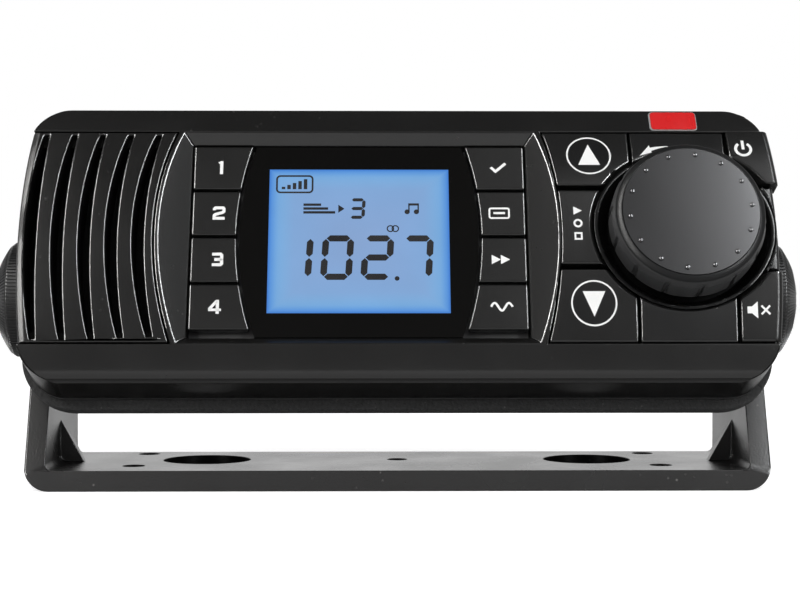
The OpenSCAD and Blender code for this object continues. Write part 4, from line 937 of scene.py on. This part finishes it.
def segment_digit(x, z, digit, tall, wide, bar):
    """A seven-segment digit with pointed bars, leaning a little to the right."""
    half_x, half_z, gap = (wide - bar) / 2, (tall - bar) / 2, bar * 0.09
    ends = {"a": ((-half_x, half_z), (half_x, half_z)), "g": ((-half_x, 0), (half_x, 0)),
            "d": ((-half_x, -half_z), (half_x, -half_z)), "f": ((-half_x, 0), (-half_x, half_z)),
            "b": ((half_x, 0), (half_x, half_z)), "e": ((-half_x, -half_z), (-half_x, 0)),
            "c": ((half_x, -half_z), (half_x, 0))}
    faces = []
    for name in SEGMENTS[digit]:
        start, end = (Vector(point) for point in ends[name])
        forward = (end - start).normalized()
        across = Vector((-forward.y, forward.x)) * bar / 2
        start, end, taper = start + forward * gap, end - forward * gap, forward * bar / 2
        outline = [start, start + taper - across, end - taper - across, end, end - taper + across,
                   start + taper + across]
        faces.append([(x + point.x + SLANT * point.y, z + point.y) for point in outline])
    return faces


def rounded_box(x0, z0, x1, z1, radius, count=6):
    """Corner points of a rectangle with rounded corners, turning left."""
    left, right, low, high = x0 + radius, x1 - radius, z0 + radius, z1 - radius
    points = []
    for x, z, start in ((right, high, 0), (left, high, 90), (left, low, 180), (right, low, 270)):
        points += arc(x, z, radius, start, start + 90, count)
    return points


def screen_marks():
    """The number, its small companion and a few plain signs, about the middle of the display."""
    marks = []
    for x, digit in ((-13.95, "1"), (-4.86, "0"), (4.15, "2"), (13.07, "7")):
        marks += segment_digit(x, -4.2, digit, 10.8, 7.1, 1.5)
    marks += disc(8.55, -9.25, 0.55, rings=1, count=16)
    marks += segment_digit(-0.4, 7.8, "3", 5.1, 3.6, 0.78)
    marks += strip(rounded_box(-18.7, 11.8, -10.6, 15.9, 0.8), 0.42, closed=True, step=9)
    for bar in range(5):
        marks += box_face(-17.6 + bar * 1.25, 12.6, -16.8 + bar * 1.25, 13.2 + bar * 0.48)
    for level in range(3):
        marks += box_face(-12.6, 6.55 + level * 0.95, -5.4 - level * 1.6, 7.15 + level * 0.95)
    marks += triangle((-3.3, 7.75), (-4.7, 8.75), (-4.7, 6.75))
    marks += disc(10.9, 7.0, 0.6, rings=1, count=14) + box_face(11.16, 7.0, 11.48, 8.9)
    marks += disc(13.0, 7.0, 0.6, rings=1, count=14) + box_face(13.26, 7.0, 13.58, 8.9)
    marks += box_face(11.16, 8.55, 13.58, 9.1)
    marks += ring(7.1, 2.85, 0.72, 0.28, 20) + ring(8.2, 2.85, 0.72, 0.28, 20)
    return [[(SCREEN_X + u, SCREEN_Z + v) for u, v in face] for face in marks]


printed("display_marks", screen_marks(), on_flat(SCREEN_Y - SCREEN_HALF), "ink", "head", lift=0.02,
        sink=0.01)

# Prints on the keys and the panel

KEY_FRONT = 4.2
ROW_MIDDLE, ROW_PITCH = 1.1, 11.3


def row_height(row):
    """The height of the middle of a row of keys beside the display."""
    return ROW_MIDDLE + (1.5 - row) * ROW_PITCH


def moved(faces, u, v, size=1.0):
    """Flat faces drawn about the origin, made larger or smaller and moved to their place."""
    return [[(point[0] * size + u, point[1] * size + v) for point in face] for face in faces]


def bold_digit(digit):
    """A wide bold digit, 4.4 mm tall."""
    wide, tall, line, cut = 1.45, 1.72, 0.95, 0.32
    if digit == 1:
        return strip([(0.1, -2.2), (0.1, 2.2)], line) + strip([(-0.75, 1.5), (-0.2, 1.86)], 0.6)
    if digit == 2:
        return strip([(-wide, 0.95), (-wide, 1.4), (-wide + cut, tall), (wide - cut, tall), (wide, 1.4),
                      (wide, 0.55), (wide - 0.4, 0.18), (-wide + 0.4, -0.42), (-wide, -0.8), (-wide, -tall),
                      (wide + 0.3, -tall)], line)
    if digit == 3:
        upper = [(-wide, tall), (wide - cut, tall), (wide, 1.4), (wide, 0.36), (wide - 0.36, 0), (-0.75, 0)]
        lower = [(wide - 0.5, 0), (wide, -0.36), (wide, -1.4), (wide - cut, -tall), (-wide, -tall)]
        return strip(upper, line) + strip(lower, line)
    return strip([(0.85, -2.2), (0.85, 2.2)], line) + strip([(1.95, -0.95), (-1.85, -0.95)], line * 0.85) \
        + strip([(-1.6, -0.8), (0.6, 1.85)], line * 0.9)


WAVE = [(-2.9 + 5.8 * i / 28, 1.1 * math.sin(math.tau * 1.5 * i / 28)) for i in range(29)]
SIGNS = {
    "tick_sign": strip([(-2.0, 0.15), (-0.7, -1.1), (2.1, 1.35)], 0.75),
    "screen_sign": strip(rounded_box(-2.7, -1.45, 2.7, 1.45, 0.5), 0.5, closed=True, step=9)
                   + box_face(-1.6, -0.25, 1.6, 0.35),
    "forward_sign": triangle((0.1, 0), (-2.4, 1.35), (-2.4, -1.35))
                    + triangle((2.6, 0), (0.1, 1.35), (0.1, -1.35)),
    "wave_sign": strip(WAVE, 0.6, step=2),
}
for row in range(4):
    printed("digit_%d" % (row + 1), moved(bold_digit(row + 1), -40.4 - 0.15 * row, row_height(row), 0.74),
            on_flat(KEY_FRONT), "print", KEYS[row])
for row, (name, sign) in enumerate(SIGNS.items()):
    printed(name, moved(sign, 22.7, row_height(row), 0.82), on_flat(KEY_FRONT), "print", KEYS[4 + row])

for key, u, v, up in (("key_up", 43.25, 20.1, 1), ("key_down", 42.85, -16.0, -1)):
    printed(key + "_disc", disc(u, v, 4.9), on_face(), "dish", key, lift=0.03)
    printed(key + "_ring", ring(u, v, 4.92, 0.36), on_face(), "print", key, lift=0.07)
    printed(key + "_arrow", triangle((u, v + up * 3.0), (u - 2.5, v - up * 2.6), (u + 2.5, v - up * 2.6)),
            on_face(), "print", key, lift=0.07)

printed("source_signs", triangle((40.9, 5.6), (39.0, 6.6), (39.0, 4.6)) + ring(39.9, 2.5, 0.8, 0.45, 24)
        + strip([(39.2, -1.3), (40.6, -1.3), (40.6, 0.1), (39.2, 0.1)], 0.4, closed=True, step=9),
        on_face(), "print", "key_source")
printed("power_sign", strip(arc(78.5, 21.3, 1.72, 125, 415, 30), 0.65, step=9)
        + box_face(78.17, 21.2, 78.83, 23.7),
        on_face(1.2), "print", "key_power")
printed("mute_sign", box_face(76.5, -18.5, 77.5, -17.0)
        + [[(77.5, -18.5), (78.8, -19.6), (78.8, -15.9), (77.5, -17.0)]]
        + strip([(79.6, -16.8), (81.5, -18.7)], 0.45) + strip([(79.6, -18.7), (81.5, -16.8)], 0.45),
        on_face(0.6), "print", "key_mute")


def turn_arrow():
    """A tapering curved arrow that runs round the knob."""
    radius, first, step, steps = 20.9, 96, 1.45, 8

    def polar(out, angle):
        turn = math.radians(angle)
        return KNOB_X + out * math.cos(turn), KNOB_Z + out * math.sin(turn)

    tail = []
    for index in range(steps + 1):
        half, angle = 0.04 + 0.42 * index / steps, first + step * index
        tail.append((polar(radius - half, angle), polar(radius + half, angle)))
    faces = [[low[0], low[1], high[1], high[0]] for low, high in zip(tail, tail[1:])]
    return faces + triangle(polar(20.2, 116.0), polar(22.0, 107.2), polar(20.0, 107.6))


printed("turn_arrow", turn_arrow(), on_face(), "print", "head")


# The plain red badge and its pale rim on the top strip

def plate(x0, z0, x1, z1, radius):
    """A rounded plate as strips that follow the bowed face."""
    outline = rounded_box(x0, z0, x1, z1, radius, 5)
    rows = []
    for v in sorted({round(v, 3) for u, v in outline}):
        across = [u for u, w in outline if abs(w - v) < 0.002]
        rows.append((Vector((min(across), v)), Vector((max(across), v))))
    fine = []
    for (left, right), (next_left, next_right) in zip(rows, rows[1:]):
        cuts = max(1, int((next_left.y - left.y) / 0.5))
        for cut in range(cuts):
            low, high = cut / cuts, (cut + 1) / cuts
            fine.append([left.lerp(next_left, low), right.lerp(next_right, low), right.lerp(next_right, high),
                         left.lerp(next_left, high)])
    return fine


printed("badge_rim", plate(57.95, 27.2, 68.95, 32.75, 0.9), on_face(), "badge_rim", "head",
        lift=0.16)
printed("red_badge", plate(58.3, 27.5, 68.75, 32.6, 0.75), on_face(), "badge", "head",
        lift=0.34)

# Camera, at the place the photo was taken from

camera_data = bpy.data.cameras.new("camera")
camera_data.sensor_width = 36.0
camera_data.lens = 76.74
camera_data.clip_start = 0.01
camera = bpy.data.objects.new("camera", camera_data)
camera.location = (-0.00579, -0.4105, 0.04741)
camera.rotation_euler = (math.radians(90 - 0.55), 0.0, math.radians(-0.90))
bpy.context.collection.objects.link(camera)
bpy.context.scene.camera = camera


# Studio

def softbox(name, place, aim, width, height, power, tint=(1.0, 1.0, 1.0)):
    """A rectangular lamp that faces its aim."""
    lamp = bpy.data.lights.new(name, "AREA")
    lamp.shape = "RECTANGLE"
    lamp.size, lamp.size_y = width, height
    lamp.energy = power
    lamp.color = tint
    made = bpy.data.objects.new(name, lamp)
    made.location = place
    made.rotation_euler = (Vector(aim) - Vector(place)).to_track_quat("-Z", "Y").to_euler()
    bpy.context.collection.objects.link(made)
    return made


def edge_strip(name, side, power, tint):
    """A narrow lamp beside the head and in front of its face, that only draws the glossy edges."""
    ahead, up, distance = math.radians(45), math.radians(20), 1000
    aside = distance * math.cos(ahead)
    place = head(side * aside * math.cos(up), -distance * math.sin(ahead), aside * math.sin(up))
    middle = head(0, 0, 0)
    made = softbox(name, place, middle, 0.14, 1.1, power, tint)
    facing = (middle - place).normalized()
    along = (head(0, 0, 1) - middle).normalized()
    along = (along - facing * along.dot(facing)).normalized()
    made.rotation_euler = Matrix((along.cross(-facing), along, -facing)).transposed().to_euler()
    made.visible_diffuse = False


edge_strip("left_edge_strip", -1, 44.0, (1.0, 0.99, 0.97))
edge_strip("right_edge_strip", 1, 40.0, (0.97, 0.99, 1.0))
softbox("right_softbox", (0.61, -0.765, 0.735), (0.05, -0.03, 0.06), 0.75, 1.18, 3.05)
fill = softbox("front_fill", (-0.15, -0.95, 0.75), (0, 0, 0.05), 0.9, 0.6, 7.0)
fill.visible_glossy = False


def floor_material():
    """White paper that reads as the white background and still takes the shadow."""
    made, tree, shader = new_material("white_paper")
    links = tree.links
    place = node(tree, "ShaderNodeTexCoord", -900)
    grain = node(tree, "ShaderNodeTexNoise", -700, 0, {"Scale": 40.0})
    links.new(place.outputs["Object"], grain.inputs["Vector"])
    tone = node(tree, "ShaderNodeMapRange", -450, 0, {"To Min": 0.80, "To Max": 0.84})
    links.new(grain.outputs["Fac"], tone.inputs["Value"])
    links.new(tone.outputs["Result"], shader.inputs["Base Color"])
    rays = node(tree, "ShaderNodeLightPath", -900, -350)
    seen = node(tree, "ShaderNodeMath", -650, -350, operation="MAXIMUM")
    links.new(rays.outputs["Is Camera Ray"], seen.inputs[0])
    links.new(rays.outputs["Is Transmission Ray"], seen.inputs[1])
    mirrored = node(tree, "ShaderNodeMath", -650, -550, {1: 0.34}, operation="MULTIPLY")
    links.new(rays.outputs["Is Glossy Ray"], mirrored.inputs[0])
    glow = node(tree, "ShaderNodeMath", -350, -350, {1: 0.75}, operation="MULTIPLY_ADD")
    links.new(seen.outputs[0], glow.inputs[0])
    links.new(mirrored.outputs[0], glow.inputs[2])
    links.new(glow.outputs[0], shader.inputs["Emission Strength"])
    set_inputs(shader, {"Emission Color": (1, 1, 1, 1), "Roughness": 0.9, "Specular IOR Level": 0.1})
    return made


FLOOR_REACH = 3.0
floor_mesh = bpy.data.meshes.new("floor")
floor_mesh.from_pydata([(-FLOOR_REACH, -FLOOR_REACH, 0), (FLOOR_REACH, -FLOOR_REACH, 0),
                        (FLOOR_REACH, FLOOR_REACH, 0), (-FLOOR_REACH, FLOOR_REACH, 0)], [], [(0, 1, 2, 3)])
floor_mesh.materials.append(floor_material())
floor_object = bpy.data.objects.new("floor", floor_mesh)
bpy.context.collection.objects.link(floor_object)


def build_world():
    """White behind the object, dim in front and dark overhead, white wherever the camera looks."""
    world = bpy.data.worlds.new("studio")
    bpy.context.scene.world = world
    world.use_nodes = True
    tree = world.node_tree
    links = tree.links
    background = tree.nodes["Background"]
    place = node(tree, "ShaderNodeTexCoord", -1300)
    parts = node(tree, "ShaderNodeSeparateXYZ", -1100)
    links.new(place.outputs["Generated"], parts.inputs[0])

    def fade(label, y, start, end, from_value, to_value):
        made = node(tree, "ShaderNodeMapRange", -850, y,
                    {"From Min": start, "From Max": end, "To Min": from_value, "To Max": to_value},
                    interpolation_type="SMOOTHSTEP")
        links.new(parts.outputs[label], made.inputs["Value"])
        return made.outputs["Result"]

    def maths(operation, first, second, x, y):
        made = node(tree, "ShaderNodeMath", x, y, operation=operation)
        links.new(first, made.inputs[0])
        links.new(second, made.inputs[1])
        return made.outputs[0]

    levels = [(0.0, 0.30), (0.36, 0.34), (0.64, 0.44), (0.86, 0.05), (0.97, 0.13), (1.0, 0.13)]
    front = colour_ramp(tree, -850, 300, [(height, (level, level, level)) for height, level in levels])
    links.new(parts.outputs["Z"], front.inputs["Fac"])
    behind = fade("Y", 0, -0.05, 0.30, 0.0, 1.0)
    below = fade("Z", -250, 0.42, 0.66, 1.0, 0.0)
    backdrop = maths("MULTIPLY", behind, below, -600, -100)
    rays = node(tree, "ShaderNodeLightPath", -850, -550)
    reflected = maths("MULTIPLY", rays.outputs["Is Glossy Ray"], backdrop, -400, -300)
    direct = maths("MAXIMUM", rays.outputs["Is Camera Ray"], rays.outputs["Is Transmission Ray"], -400, -500)
    white = maths("MAXIMUM", reflected, direct, -200, -400)
    strength = node(tree, "ShaderNodeMix", 0, 0, {"B": 1.0}, data_type="FLOAT")
    links.new(white, strength.inputs["Factor"])
    links.new(front.outputs["Color"], strength.inputs["A"])
    links.new(strength.outputs["Result"], background.inputs["Strength"])
    set_inputs(background, {"Color": (1, 1, 1, 1)})


build_world()
bpy.context.scene.view_settings.view_transform = "Standard"
